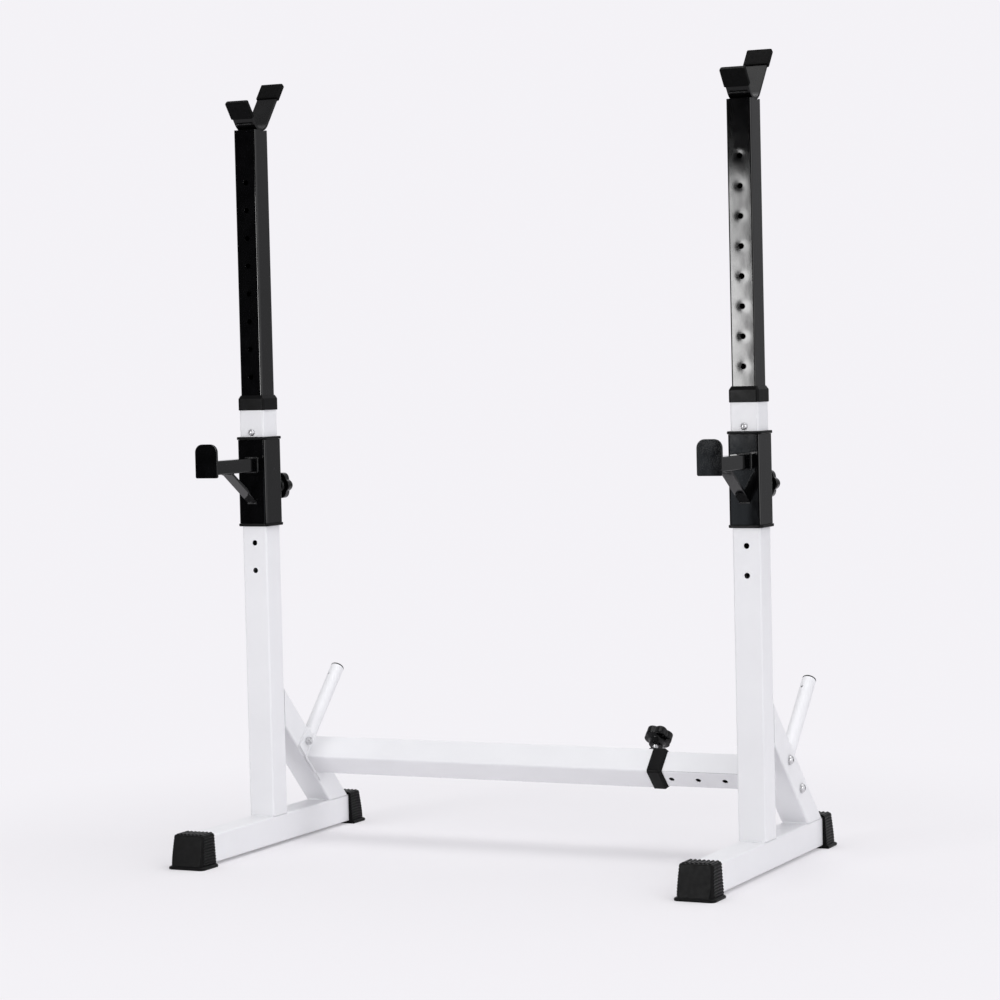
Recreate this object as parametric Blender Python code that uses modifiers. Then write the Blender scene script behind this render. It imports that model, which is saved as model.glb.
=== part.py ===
"""Squat rack: two side frames on a telescoping crossbeam, with sliding posts and safety hooks.

Metres, +Z up. X runs along the crossbeam, -Y is the lifter's side, and the origin is on the floor
at the middle of the footprint. Each side frame has an empty on the floor under its upright, and
each moving piece hangs from an empty on its own axis.
"""

import math

import bmesh
import bpy
from mathutils import Matrix, Vector

# Overall
FRAME_SPACING = 0.950
BASE_LENGTH = 0.600
UPRIGHT_SETBACK = 0.0065

# Clearances
GAP = 0.0003
SLIDE_GAP = 0.0003
POST_PLAY = 0.0005
STUD_REST = 0.0006
THREAD_PLAY = 0.0003
BOLT_PLAY = 0.0005

# Frame tubes
FRAME_TUBE = 0.050
FRAME_WALL = 0.002
TUBE_CORNER = 0.003
UPRIGHT_TOP = 0.808

# Inner tubes, which slide in the frame tubes
POST_TUBE = FRAME_TUBE - 2 * (FRAME_WALL + POST_PLAY)
POST_WALL = 0.002
POST_CORNER = 0.0025
POST_BOTTOM = 0.518
POST_TOP = 1.298

# Adjustment holes
HOLE_PITCH = 0.050
HOLE_DIAMETER = 0.010
TOP_HOLE = 0.753
UPRIGHT_HOLES = 6
POST_HOLES_ABOVE = 9
POST_HOLES_BELOW = 4
BEAM_HOLES_EACH_WAY = 3

# Height pin
PIN_PLAY = 0.0003
PIN_HEAD_DIAMETER = 0.0125
PIN_HEAD_HEIGHT = 0.005

# Collar bush
COLLAR_WALL = 0.0017
COLLAR_COVER = 0.015
COLLAR_STAND = 0.012
COLLAR_CHAMFER_RISE = 0.006
COLLAR_CHAMFER_RUN = 0.0036

# Foot cap, whose depth runs from its open edge to its lip
FOOT_SOLE = 0.0047
FOOT_DEPTH = 0.051
FOOT_TOP_DEPTH = 0.0315
FOOT_BODY_DEPTH = 0.0475
FOOT_HEIGHT = 0.0605
FOOT_HALF_TOP = 0.0285
FOOT_HALF_BOTTOM = 0.0325
FOOT_BODY_BOTTOM = 0.002
FOOT_LIP_HALF = 0.0365
FOOT_LIP_HEIGHT = 0.005
FOOT_LIP_CORNER = 0.009
FOOT_LIP_EDGE = 0.0014
FOOT_END_WALL = 0.0035
FOOT_RIB_HEIGHT = 0.0012
FOOT_SIDE_RIBS = 10
FOOT_TOP_RIBS = 7
FOOT_FRONT_BAND = 0.004
FOOT_FRONT_ROUND = 0.0015

# Brace, bolts and weight peg
BRACE_REACH = 0.2745
BEAM_REACH = 0.1245
BOLT_SPREAD = 0.080
BOLT_DIAMETER = 0.008
BOLT_HEAD_DIAMETER = 0.0150
BOLT_HEAD_HEIGHT = 0.0045
BOLT_SOCKET = 0.0050
BOLT_SOCKET_DEPTH = 0.0028
BOLT_TAIL = 0.002
NUT_ACROSS = 0.013
NUT_HEIGHT = 0.0075
PEG_DIAMETER = 0.025
PEG_WALL = 0.002
PEG_LENGTH = 0.181
PEG_CAP_RIM = 0.002
PEG_CAP_PLUG = 0.012

# Crossbeam
END_PLATE_THICKNESS = 0.004
END_PLATE_WIDTH = 0.046
END_PLATE_MARGIN = 0.014
END_PLATE_CORNER = 0.004
BEAM_MOUTH = 0.252
BEAM_INNER_START = 0.020
BEAM_LOCK_STATION = 0.226

# Bar cradle
CRADLE_RADIUS = 0.031
CRADLE_THICKNESS = 0.005
CRADLE_WIDTH = 0.0405
CRADLE_SHIFT = 0.0035
CRADLE_SINK = 0.002
PRONG_ANGLE = math.radians(52)
FRONT_PRONG = 0.044
REAR_PRONG = 0.093
PRONG_CAP_LENGTH = 0.035
PRONG_CAP_WIDTH = 0.045
PRONG_CAP_THICKNESS = 0.010
PRONG_CAP_END = 0.003
PRONG_CAP_ROUND = 0.0012

# Slider
SLIDER_HEIGHT = 0.162
SLIDER_SCREW_HEIGHT = 0.070
SLIDER_PIN_HOLES_DOWN = 2
SLEEVE_WALL = 0.002
SLEEVE_CORNER = 0.005
LINER_WALL = 0.0014
LINER_DEPTH = 0.020
RIM_WIDTH = 0.062
RIM_THICKNESS = 0.005
ARM_SIZE = 0.025
ARM_WALL = 0.002
ARM_CORNER = 0.002
ARM_HEIGHT = 0.099
HOOK_REACH = 0.186
HOOK_PLATE_THICKNESS = 0.005
HOOK_PLATE_WIDTH = 0.0445
HOOK_PLATE_HEIGHT = 0.060
HOOK_PLATE_DROP = 0.005
HOOK_TOP_CORNER = 0.0145
HOOK_BOTTOM_CORNER = 0.003
STRUT_WIDTH = 0.020
STRUT_THICKNESS = 0.005
STRUT_FOOT_HEIGHT = 0.0425
STRUT_HEAD_REACH = 0.1175

# Lock screws
STUD_DIAMETER = 0.0094
STUD_CHAMFER = 0.001
BOSS_DIAMETER = 0.020
BOSS_CHAMFER = 0.0015
SLIDER_BOSS_LENGTH = 0.010
BEAM_BOSS_LENGTH = 0.014
SLIDER_KNOB_STAND = 0.078
BEAM_KNOB_STAND = 0.079
KNOB_HEAD_HEIGHT = 0.018
KNOB_HUB_HEIGHT = 0.012
KNOB_HUB_DIAMETER = 0.026
KNOB_BORE_DEPTH = 0.020
KNOB_LOBES = 6
KNOB_LOBE_RADIUS = 0.0255
KNOB_VALLEY_RADIUS = 0.0185
KNOB_POINTS_PER_LOBE = 5
KNOB_ROUND = 0.0025
JOIN_DEPTH = 0.002

# Facets
HOLE_SEGMENTS = 10
ROUND_SEGMENTS = 20
BOLT_SEGMENTS = 12
CORNER_STEPS = 2
CRADLE_STEPS = 10
DOME_STEPS = 4

QUARTER_TURN = math.pi / 2
EIGHTH_TURN = math.pi / 4
WELD_DISTANCE = 0.00001
CUT_PAST = 0.010

# Sizes that follow from those above
BASE_BOTTOM = FOOT_SOLE + GAP
BASE_TOP = BASE_BOTTOM + FRAME_TUBE
UPRIGHT_BOTTOM = BASE_TOP + GAP
FOOT_OPEN_EDGE = BASE_LENGTH / 2 - FOOT_DEPTH
BASE_TUBE_END = FOOT_OPEN_EDGE + FOOT_TOP_DEPTH - FOOT_END_WALL
BEAM_HEIGHT = BRACE_REACH - BEAM_REACH
BOLT_HOLE = BOLT_DIAMETER + 2 * BOLT_PLAY
SCREW_HOLE = STUD_DIAMETER + 4 * THREAD_PLAY
SLEEVE_BORE = FRAME_TUBE + 2 * (SLIDE_GAP + LINER_WALL + GAP)
SLEEVE_TUBE = SLEEVE_BORE + 2 * SLEEVE_WALL
RIM_CORNER = SLEEVE_CORNER + (RIM_WIDTH - SLEEVE_TUBE) / 2
LINER_CORNER = SLEEVE_CORNER - SLEEVE_WALL - GAP
SLIDER_BORE_CORNER = LINER_CORNER - LINER_WALL
LOCK_HEIGHT = TOP_HOLE - SLIDER_PIN_HOLES_DOWN * HOLE_PITCH
SLIDER_BOTTOM = LOCK_HEIGHT - SLIDER_SCREW_HEIGHT
SLEEVE_START = SLIDER_BOTTOM + RIM_THICKNESS + GAP
SLEEVE_END = SLIDER_BOTTOM + SLIDER_HEIGHT - RIM_THICKNESS - GAP
END_PLATE_SEAT = FRAME_TUBE / 2 + GAP
BEAM_TUBE_SEAT = END_PLATE_SEAT + END_PLATE_THICKNESS + GAP

SIDES = (("left", -1), ("right", 1))


def clear_scene():
    for obj in list(bpy.data.objects):
        bpy.data.objects.remove(obj, do_unlink=True)


def new_collection(name):
    found = bpy.data.collections.new(name)
    bpy.context.scene.collection.children.link(found)
    return found


def new_material(name, colour, roughness, metallic=0.0):
    material = bpy.data.materials.new(name)
    material.use_nodes = True
    shader = material.node_tree.nodes["Principled BSDF"]
    shader.inputs["Base Color"].default_value = (*colour, 1.0)
    shader.inputs["Roughness"].default_value = roughness
    shader.inputs["Metallic"].default_value = metallic
    return material


def object_of(name, bm):
    """A new object in the parts collection, from a bmesh that this call frees."""
    bmesh.ops.recalc_face_normals(bm, faces=bm.faces)
    mesh = bpy.data.meshes.new(name)
    bm.to_mesh(mesh)
    bm.free()
    mesh.shade_smooth()
    mesh.set_sharp_from_angle(angle=math.radians(35))
    obj = bpy.data.objects.new(name, mesh)
    parts.objects.link(obj)
    return obj


def finish(obj, material, parent, location=(0, 0, 0), rotation=(0, 0, 0)):
    obj.data.materials.append(material)
    obj.parent = parent
    obj.location = location
    obj.rotation_euler = rotation
    return obj


def empty(name, parent=None, location=(0, 0, 0), rotation=(0, 0, 0)):
    obj = bpy.data.objects.new(name, None)
    parts.objects.link(obj)
    obj.parent = parent
    obj.location = location
    obj.rotation_euler = rotation
    return obj


def join_or_cut(obj, helper, operation="DIFFERENCE"):
    """A Boolean on obj with a helper that is drawn as wire and follows obj."""
    for holder in list(helper.users_collection):
        holder.objects.unlink(helper)
    cutters.objects.link(helper)
    helper.hide_render = True
    helper.display_type = "WIRE"
    helper.parent = obj
    modifier = obj.modifiers.new(helper.name, "BOOLEAN")
    modifier.operation = operation
    modifier.solver = "EXACT"
    modifier.object = helper


def bevel(obj, width, segments=1, angle=math.radians(40)):
    modifier = obj.modifiers.new("rounded_edges", "BEVEL")
    modifier.width = width
    modifier.segments = segments
    modifier.limit_method = "ANGLE"
    modifier.angle_limit = angle


def arc(centre_x, centre_y, radius, start, end, steps):
    """Points from the angle start to the angle end, both ends included."""
    turns = [start + (end - start) * i / steps for i in range(steps + 1)]
    return [(centre_x + radius * math.cos(t), centre_y + radius * math.sin(t)) for t in turns]


def rounded_rectangle(half_x, half_y, radii, steps=CORNER_STEPS):
    """Anticlockwise outline. radii are those of the corners ++, -+, -- and +-."""
    points = []
    for quarter, (sign_x, sign_y, radius) in enumerate(
        ((1, 1, radii[0]), (-1, 1, radii[1]), (-1, -1, radii[2]), (1, -1, radii[3]))
    ):
        start = quarter * QUARTER_TURN
        centre = (sign_x * (half_x - radius), sign_y * (half_y - radius))
        points += arc(*centre, radius, start, start + QUARTER_TURN, steps)
    return points


def rounded_square(size, radius):
    return rounded_rectangle(size / 2, size / 2, (radius,) * 4)


def circle(diameter, segments, centre=(0, 0)):
    turns = [2 * math.pi * i / segments for i in range(segments)]
    radius = diameter / 2
    return [(centre[0] + radius * math.cos(t), centre[1] + radius * math.sin(t)) for t in turns]


def extruded(name, outlines, thickness):
    """A flat curve of the outlines, the later ones holes in the first, made a mesh from z = 0 up."""
    curve = bpy.data.curves.new(name, "CURVE")
    curve.dimensions = "2D"
    curve.fill_mode = "BOTH"
    curve.extrude = thickness / 2
    for outline in outlines:
        spline = curve.splines.new("POLY")
        spline.points.add(len(outline) - 1)
        for point, (x, y) in zip(spline.points, outline):
            point.co = (x, y, 0, 1)
        spline.use_cyclic_u = True
    drawn = bpy.data.objects.new(name + "_curve", curve)
    parts.objects.link(drawn)
    evaluated = drawn.evaluated_get(bpy.context.evaluated_depsgraph_get())
    mesh = bpy.data.meshes.new_from_object(evaluated)
    bm = bmesh.new()
    bm.from_mesh(mesh)
    bpy.data.objects.remove(drawn, do_unlink=True)
    bpy.data.meshes.remove(mesh)
    bmesh.ops.remove_doubles(bm, verts=bm.verts, dist=WELD_DISTANCE)
    bmesh.ops.translate(bm, verts=bm.verts, vec=(0, 0, thickness / 2))
    return object_of(name, bm)


def square_tube(name, size, wall, corner, length):
    """A square tube along +Z, open at both ends."""
    outer = rounded_square(size, corner)
    inner = rounded_square(size - 2 * wall, max(corner - wall, wall / 4))
    return extruded(name, [outer, inner], length)


def turned(name, profile, segments=ROUND_SEGMENTS, ring=False):
    """A profile of (radius, height) points, run down its outer side, turned about Z."""
    mesh = bpy.data.meshes.new(name)
    points = [(radius, 0, height) for radius, height in profile]
    edges = [(i, i + 1) for i in range(len(points) - 1)]
    if ring:
        edges.append((len(points) - 1, 0))
    mesh.from_pydata(points, edges, [])
    obj = bpy.data.objects.new(name, mesh)
    parts.objects.link(obj)
    screw = obj.modifiers.new("turned", "SCREW")
    screw.axis = "Z"
    screw.steps = segments
    screw.render_steps = segments
    screw.use_merge_vertices = True
    screw.merge_threshold = WELD_DISTANCE
    screw.use_smooth_shade = True
    return obj


def box(name, low, high):
    bm = bmesh.new()
    low, high = Vector(low), Vector(high)
    size = high - low
    place = Matrix.Translation((low + high) / 2) @ Matrix.Diagonal((*size, 1))
    bmesh.ops.create_cube(bm, size=1, matrix=place)
    return object_of(name, bm)


def rods(name, diameter, length, places, direction, segments=HOLE_SEGMENTS):
    """Equal cylinders centred on the places, along the axis "X", "Y" or "Z", in one object."""
    turn = {
        "X": Matrix.Rotation(QUARTER_TURN, 4, "Y"),
        "Y": Matrix.Rotation(QUARTER_TURN, 4, "X"),
        "Z": Matrix.Identity(4),
    }[direction]
    bm = bmesh.new()
    for place in places:
        bmesh.ops.create_cone(
            bm,
            cap_ends=True,
            segments=segments,
            radius1=diameter / 2,
            radius2=diameter / 2,
            depth=length,
            matrix=Matrix.Translation(place) @ turn,
        )
    return object_of(name, bm)


def swept_square(name, profile):
    """A closed profile of (half width, height, corner radius) swept round a square."""
    bm = bmesh.new()
    rings = []
    for half, height, corner in profile:
        outline = rounded_rectangle(half, half, (corner,) * 4)
        rings.append([bm.verts.new((x, y, height)) for x, y in outline])
    for ring, after in zip(rings, rings[1:] + rings[:1]):
        for i in range(len(ring)):
            j = (i + 1) % len(ring)
            bm.faces.new((ring[i], ring[j], after[j], after[i]))
    return object_of(name, bm)


def collar(name, material, parent, location, rotation=(0, 0, 0)):
    """The bush on a frame tube's mouth, which is at the piece's own z = 0."""
    seat = FRAME_TUBE / 2 + GAP
    outer = seat + COLLAR_WALL
    mouth = POST_TUBE / 2 + GAP
    seat_corner = TUBE_CORNER + GAP
    outer_corner = seat_corner + COLLAR_WALL
    mouth_corner = POST_CORNER + GAP
    profile = (
        (seat, -COLLAR_COVER, seat_corner),
        (outer, -COLLAR_COVER, outer_corner),
        (outer, COLLAR_STAND - COLLAR_CHAMFER_RISE, outer_corner),
        (outer - COLLAR_CHAMFER_RUN, COLLAR_STAND, mouth_corner),
        (mouth, COLLAR_STAND, mouth_corner),
        (mouth, GAP, mouth_corner),
        (seat, GAP, seat_corner),
    )
    return finish(swept_square(name, profile), material, parent, location, rotation)


def foot_section(shift, rib, inset):
    """One ring of the foot cap's body. shift gives the depth at a height, rib the rib height."""
    top = FOOT_HEIGHT - FOOT_RIB_HEIGHT - inset
    lean = (FOOT_HALF_BOTTOM - FOOT_HALF_TOP) / (FOOT_HEIGHT - FOOT_BODY_BOTTOM)
    side = []
    for i in range(2 * FOOT_SIDE_RIBS + 1):
        height = FOOT_BODY_BOTTOM + (top - FOOT_BODY_BOTTOM) * i / (2 * FOOT_SIDE_RIBS)
        half = FOOT_HALF_BOTTOM - lean * (height - FOOT_BODY_BOTTOM) - inset
        side.append((half + rib * (i % 2), height))
    crown = []
    reach = side[-1][0]
    for i in range(1, 2 * FOOT_TOP_RIBS):
        crown.append((reach - 2 * reach * i / (2 * FOOT_TOP_RIBS), top + rib * (i % 2)))
    outline = side + crown + [(-x, z) for x, z in reversed(side)]
    return [(x, shift(z), z) for x, z in outline]


def foot_depth(height):
    """Depth of the sloping front face at a height."""
    rise = (height - FOOT_LIP_HEIGHT) / (FOOT_HEIGHT - FOOT_LIP_HEIGHT)
    return FOOT_BODY_DEPTH + (FOOT_TOP_DEPTH - FOOT_BODY_DEPTH) * rise


def foot(name, material, parent, outward):
    """A ribbed cap on the base tube's end. Its own +Y runs from its open edge to its lip."""
    sections = (
        foot_section(lambda z: 0, FOOT_RIB_HEIGHT, 0),
        foot_section(lambda z: foot_depth(z) - FOOT_FRONT_BAND, FOOT_RIB_HEIGHT, 0),
        foot_section(lambda z: foot_depth(z) - FOOT_FRONT_ROUND, 0, 0),
        foot_section(foot_depth, 0, FOOT_FRONT_ROUND),
    )
    bm = bmesh.new()
    rings = [[bm.verts.new(point) for point in section] for section in sections]
    for ring, after in zip(rings, rings[1:]):
        for i in range(len(ring)):
            j = (i + 1) % len(ring)
            bm.faces.new((ring[i], ring[j], after[j], after[i]))
    bm.faces.new(rings[0])
    bm.faces.new(rings[-1])
    body = object_of(name, bm)

    corners = (FOOT_LIP_CORNER, FOOT_LIP_CORNER, FOOT_LIP_EDGE, FOOT_LIP_EDGE)
    outline = rounded_rectangle(FOOT_LIP_HALF, FOOT_DEPTH / 2, corners)
    outline = [(x, y + FOOT_DEPTH / 2) for x, y in outline]
    lip = extruded(name + "_lip", [outline], FOOT_LIP_HEIGHT)
    bevel(lip, FOOT_LIP_EDGE, 2)
    join_or_cut(body, lip, "UNION")

    half = FRAME_TUBE / 2 + GAP
    depth = BASE_TUBE_END - FOOT_OPEN_EDGE + GAP
    pocket = box(
        name + "_pocket",
        (-half, -CUT_PAST, FOOT_SOLE),
        (half, depth, BASE_TOP + GAP),
    )
    join_or_cut(body, pocket)
    turn = 0 if outward > 0 else math.pi
    place = (0, UPRIGHT_SETBACK + outward * FOOT_OPEN_EDGE, 0)
    return finish(body, material, parent, place, (0, 0, turn))


def base_tube(name, parent):
    tube = square_tube(name, FRAME_TUBE, FRAME_WALL, TUBE_CORNER, 2 * BASE_TUBE_END)
    place = (0, UPRIGHT_SETBACK + BASE_TUBE_END, BASE_BOTTOM + FRAME_TUBE / 2)
    return finish(tube, white, parent, place, (QUARTER_TURN, 0, 0))


def drill_row(tube, levels):
    """Holes through a tube's front and rear walls, at heights along it."""
    places = [(0, 0, level) for level in levels]
    row = rods(tube.name + "_holes", HOLE_DIAMETER, FRAME_TUBE + CUT_PAST, places, "Y")
    join_or_cut(tube, row)


def upright(name, parent):
    tube = square_tube(name, FRAME_TUBE, FRAME_WALL, TUBE_CORNER, UPRIGHT_TOP - UPRIGHT_BOTTOM)
    drill_row(tube, [TOP_HOLE - HOLE_PITCH * i - UPRIGHT_BOTTOM for i in range(UPRIGHT_HOLES)])
    return finish(tube, white, parent, (0, 0, UPRIGHT_BOTTOM))


def height_pin(name, parent):
    """The pin's own +Z points out of the rack's front, from the upright's centre."""
    face = FRAME_TUBE / 2
    shank = HOLE_DIAMETER / 2 - PIN_PLAY
    head = PIN_HEAD_DIAMETER / 2
    rise = PIN_HEAD_HEIGHT
    dome = arc(0, 0, 1, QUARTER_TURN, 0, DOME_STEPS)
    profile = [(head * x, face + GAP + rise * y) for x, y in dome]
    profile += [(shank, face + GAP), (shank, POST_TUBE / 2 + STUD_REST)]
    profile += [(0, POST_TUBE / 2 + STUD_REST)]
    return finish(turned(name, profile, HOLE_SEGMENTS), steel, parent)


def brace(name, parent):
    """A tube at 45 degrees, cut square to the upright and to the base tube."""
    span = BRACE_REACH * math.sqrt(2)
    tube = square_tube(name, FRAME_TUBE, FRAME_WALL, TUBE_CORNER, span)
    holes = [(0, 0, span / 2 + end + brace_station()) for end in (-BOLT_SPREAD / 2, BOLT_SPREAD / 2)]
    join_or_cut(tube, rods(name + "_bolt_holes", BOLT_HOLE, FRAME_TUBE + CUT_PAST, holes, "X"))
    finish(tube, white, parent, (0, BRACE_REACH, 0), (EIGHTH_TURN, 0, 0))
    corner = box(
        name + "_mitres",
        (-FRAME_TUBE, FRAME_TUBE / 2 + GAP, BASE_TOP + GAP),
        (FRAME_TUBE, BRACE_REACH * 2, BRACE_REACH * 2),
    )
    join_or_cut(tube, corner, "INTERSECT")
    # The mitre box stands square to the floor, so it hangs from the side frame and not from the tube
    corner.parent = parent
    return tube


def brace_station():
    """How far up the brace from its middle the crossbeam's axis crosses it."""
    return (BRACE_REACH / 2 - BEAM_REACH) * math.sqrt(2)


def weight_peg(name, parent):
    """A round tube that stands square on the brace, along the mount's +Y."""
    start = FRAME_TUBE / 2 + GAP
    outer = PEG_DIAMETER / 2
    inner = outer - PEG_WALL
    profile = ((outer, start + PEG_LENGTH), (outer, start), (inner, start), (inner, start + PEG_LENGTH))
    tube = turned(name, profile, ring=True)
    return finish(tube, white, parent, rotation=(-QUARTER_TURN, 0, 0))


def peg_cap(name, parent):
    seat = FRAME_TUBE / 2 + GAP + PEG_LENGTH + GAP
    outer = PEG_DIAMETER / 2
    plug = outer - PEG_WALL - GAP
    edge = PEG_CAP_RIM / 2
    profile = (
        (0, seat + PEG_CAP_RIM),
        (outer - edge, seat + PEG_CAP_RIM),
        (outer, seat + PEG_CAP_RIM - edge),
        (outer, seat),
        (plug, seat),
        (plug, seat - PEG_CAP_PLUG),
        (0, seat - PEG_CAP_PLUG),
    )
    return finish(turned(name, profile), plastic, parent, rotation=(-QUARTER_TURN, 0, 0))


def end_plate(name, parent, inward):
    """A flat plate on the brace's inner face, along the brace."""
    half_length = BOLT_SPREAD / 2 + END_PLATE_MARGIN
    outline = rounded_rectangle(half_length, END_PLATE_WIDTH / 2, (END_PLATE_CORNER,) * 4)
    holes = [circle(BOLT_HOLE, HOLE_SEGMENTS, (x, 0)) for x in (-BOLT_SPREAD / 2, BOLT_SPREAD / 2)]
    plate = extruded(name, [outline, *holes], END_PLATE_THICKNESS)
    start = END_PLATE_SEAT if inward > 0 else -END_PLATE_SEAT - END_PLATE_THICKNESS
    return finish(plate, white, parent, (start, 0, 0), (0, QUARTER_TURN, 0))


def beam_bolt(name, parent, outward, along):
    """A button-head bolt through brace and end plate, its head on the rack's outer side."""
    seat = FRAME_TUBE / 2 + GAP
    head = BOLT_HEAD_DIAMETER / 2
    shank = BOLT_DIAMETER / 2
    tail = -(BEAM_TUBE_SEAT + NUT_HEIGHT + BOLT_TAIL)
    crown = arc(0, 0, 1, QUARTER_TURN * 0.7, 0, DOME_STEPS)
    profile = [(0, seat + BOLT_HEAD_HEIGHT * crown[0][1])]
    profile += [(head * x, seat + BOLT_HEAD_HEIGHT * y) for x, y in crown]
    profile += [(shank, seat), (shank, tail), (0, tail)]
    bolt = turned(name, profile, BOLT_SEGMENTS)
    socket_top = seat + BOLT_HEAD_HEIGHT
    socket = rods(
        name + "_socket",
        BOLT_SOCKET / math.cos(math.pi / 6),
        2 * BOLT_SOCKET_DEPTH,
        [(0, 0, socket_top)],
        "Z",
        6,
    )
    join_or_cut(bolt, socket)
    return finish(bolt, steel, parent, (0, 0, along), (0, outward * QUARTER_TURN, 0))


def beam_nut(name, parent, outward, along):
    hexagon = circle(NUT_ACROSS / math.cos(math.pi / 6), 6)
    bore = circle(BOLT_DIAMETER + 2 * THREAD_PLAY, HOLE_SEGMENTS)
    nut = extruded(name, [hexagon, bore], NUT_HEIGHT)
    start = -outward * BEAM_TUBE_SEAT
    return finish(nut, steel, parent, (start, 0, along), (0, -outward * QUARTER_TURN, 0))


def cradle_direction(side):
    """Unit vectors along a prong and out of its outer face. side is -1 in front, 1 behind."""
    along = (side * math.cos(PRONG_ANGLE), math.sin(PRONG_ANGLE))
    out = (side * math.sin(PRONG_ANGLE), -math.cos(PRONG_ANGLE))
    return along, out


def cradle_edge(radius, steps):
    """The bent plate's edge at a radius from its bend's centre, from the front tip to the rear."""
    ends = []
    for side, length in ((-1, FRONT_PRONG), (1, REAR_PRONG)):
        along, out = cradle_direction(side)
        ends.append((out[0] * radius + along[0] * length, out[1] * radius + along[1] * length))
    swing = QUARTER_TURN - PRONG_ANGLE
    bend = arc(0, 0, radius, -math.pi + swing, -swing, steps)
    return [ends[0], *bend, ends[1]]


def rest_cradle(name, parent, centre):
    """The bent plate that the bar lies in, welded into a saddle in the post's top."""
    outer = cradle_edge(CRADLE_RADIUS, CRADLE_STEPS)
    inner = cradle_edge(CRADLE_RADIUS - CRADLE_THICKNESS, CRADLE_STEPS)
    plate = extruded(name, [outer + inner[::-1]], CRADLE_WIDTH)
    place = (-CRADLE_WIDTH / 2, centre[0], centre[1])
    return finish(plate, black, parent, place, (QUARTER_TURN, 0, QUARTER_TURN))


def prong_cap(name, parent, centre, side, prong):
    """A rubber sleeve over a prong's end. Its own +Z runs along the prong to its tip."""
    along, out = cradle_direction(side)
    middle = CRADLE_RADIUS - CRADLE_THICKNESS / 2
    low = prong + PRONG_CAP_END - PRONG_CAP_LENGTH
    half_width = PRONG_CAP_WIDTH / 2
    half_depth = PRONG_CAP_THICKNESS / 2
    sleeve = box(name, (-half_width, -half_depth, 0), (half_width, half_depth, PRONG_CAP_LENGTH))
    bevel(sleeve, PRONG_CAP_ROUND, 2)
    pocket_x = CRADLE_WIDTH / 2 + GAP
    pocket_y = CRADLE_THICKNESS / 2 + GAP
    pocket = box(
        name + "_pocket",
        (-pocket_x, -pocket_y, -CUT_PAST),
        (pocket_x, pocket_y, PRONG_CAP_LENGTH - PRONG_CAP_END + GAP),
    )
    join_or_cut(sleeve, pocket)
    place = (
        0,
        centre[0] + out[0] * middle + along[0] * low,
        centre[1] + out[1] * middle + along[1] * low,
    )
    tilt = -side * (QUARTER_TURN - PRONG_ANGLE)
    return finish(sleeve, rubber, parent, place, (tilt, 0, 0))


def post(name, parent):
    """The inner tube with its row of holes. Its top is cut to a saddle under the cradle."""
    tube = square_tube(name, POST_TUBE, POST_WALL, POST_CORNER, POST_TOP - POST_BOTTOM)
    steps = range(-POST_HOLES_BELOW, POST_HOLES_ABOVE + 1)
    drill_row(tube, [TOP_HOLE + HOLE_PITCH * i - POST_BOTTOM for i in steps])
    level = POST_TOP - CRADLE_SINK + CRADLE_RADIUS - POST_BOTTOM
    saddle = rods(
        name + "_saddle",
        2 * (CRADLE_RADIUS + GAP),
        POST_TUBE + CUT_PAST,
        [(0, CRADLE_SHIFT, level)],
        "X",
        4 * CRADLE_STEPS,
    )
    join_or_cut(tube, saddle)
    return finish(tube, black, parent, (0, 0, POST_BOTTOM))


def slider_rim(name, parent, turned_over):
    """A rim plate with a liner that fills the space between sleeve and upright."""
    bore = FRAME_TUBE / 2 + SLIDE_GAP
    liner = bore + LINER_WALL
    edge = RIM_WIDTH / 2
    profile = (
        (bore, RIM_THICKNESS, SLIDER_BORE_CORNER),
        (bore, -LINER_DEPTH, SLIDER_BORE_CORNER),
        (liner, -LINER_DEPTH, LINER_CORNER),
        (liner, 0, LINER_CORNER),
        (edge, 0, RIM_CORNER),
        (edge, RIM_THICKNESS, RIM_CORNER),
    )
    rim = swept_square(name, profile)
    if turned_over:
        return finish(rim, plastic, parent, (0, 0, SLIDER_BOTTOM + RIM_THICKNESS), (math.pi, 0, 0))
    return finish(rim, plastic, parent, (0, 0, SLIDER_BOTTOM + SLIDER_HEIGHT - RIM_THICKNESS))


def slider_sleeve(name, parent):
    tube = square_tube(name, SLEEVE_TUBE, SLEEVE_WALL, SLEEVE_CORNER, SLEEVE_END - SLEEVE_START)
    level = LOCK_HEIGHT - SLEEVE_START
    hole = rods(name + "_screw_hole", SCREW_HOLE, SLEEVE_TUBE / 2, [(0, SLEEVE_TUBE / 2, level)], "Y")
    join_or_cut(tube, hole)
    return finish(tube, black, parent, (0, 0, SLEEVE_START))


def hook_arm(name, parent):
    start = HOOK_REACH - HOOK_PLATE_THICKNESS - GAP
    length = start - SLEEVE_TUBE / 2 - GAP
    tube = square_tube(name, ARM_SIZE, ARM_WALL, ARM_CORNER, length)
    place = (0, -start, SLIDER_BOTTOM + ARM_HEIGHT + ARM_SIZE / 2)
    return finish(tube, black, parent, place, (-QUARTER_TURN, 0, 0))


def hook_plate(name, parent):
    half_x, half_y = HOOK_PLATE_WIDTH / 2, HOOK_PLATE_HEIGHT / 2
    corners = (HOOK_TOP_CORNER, HOOK_TOP_CORNER, HOOK_BOTTOM_CORNER, HOOK_BOTTOM_CORNER)
    plate = extruded(name, [rounded_rectangle(half_x, half_y, corners)], HOOK_PLATE_THICKNESS)
    low = SLIDER_BOTTOM + ARM_HEIGHT - HOOK_PLATE_DROP
    place = (0, -HOOK_REACH + HOOK_PLATE_THICKNESS, low + half_y)
    return finish(plate, black, parent, place, (QUARTER_TURN, 0, 0))


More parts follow.
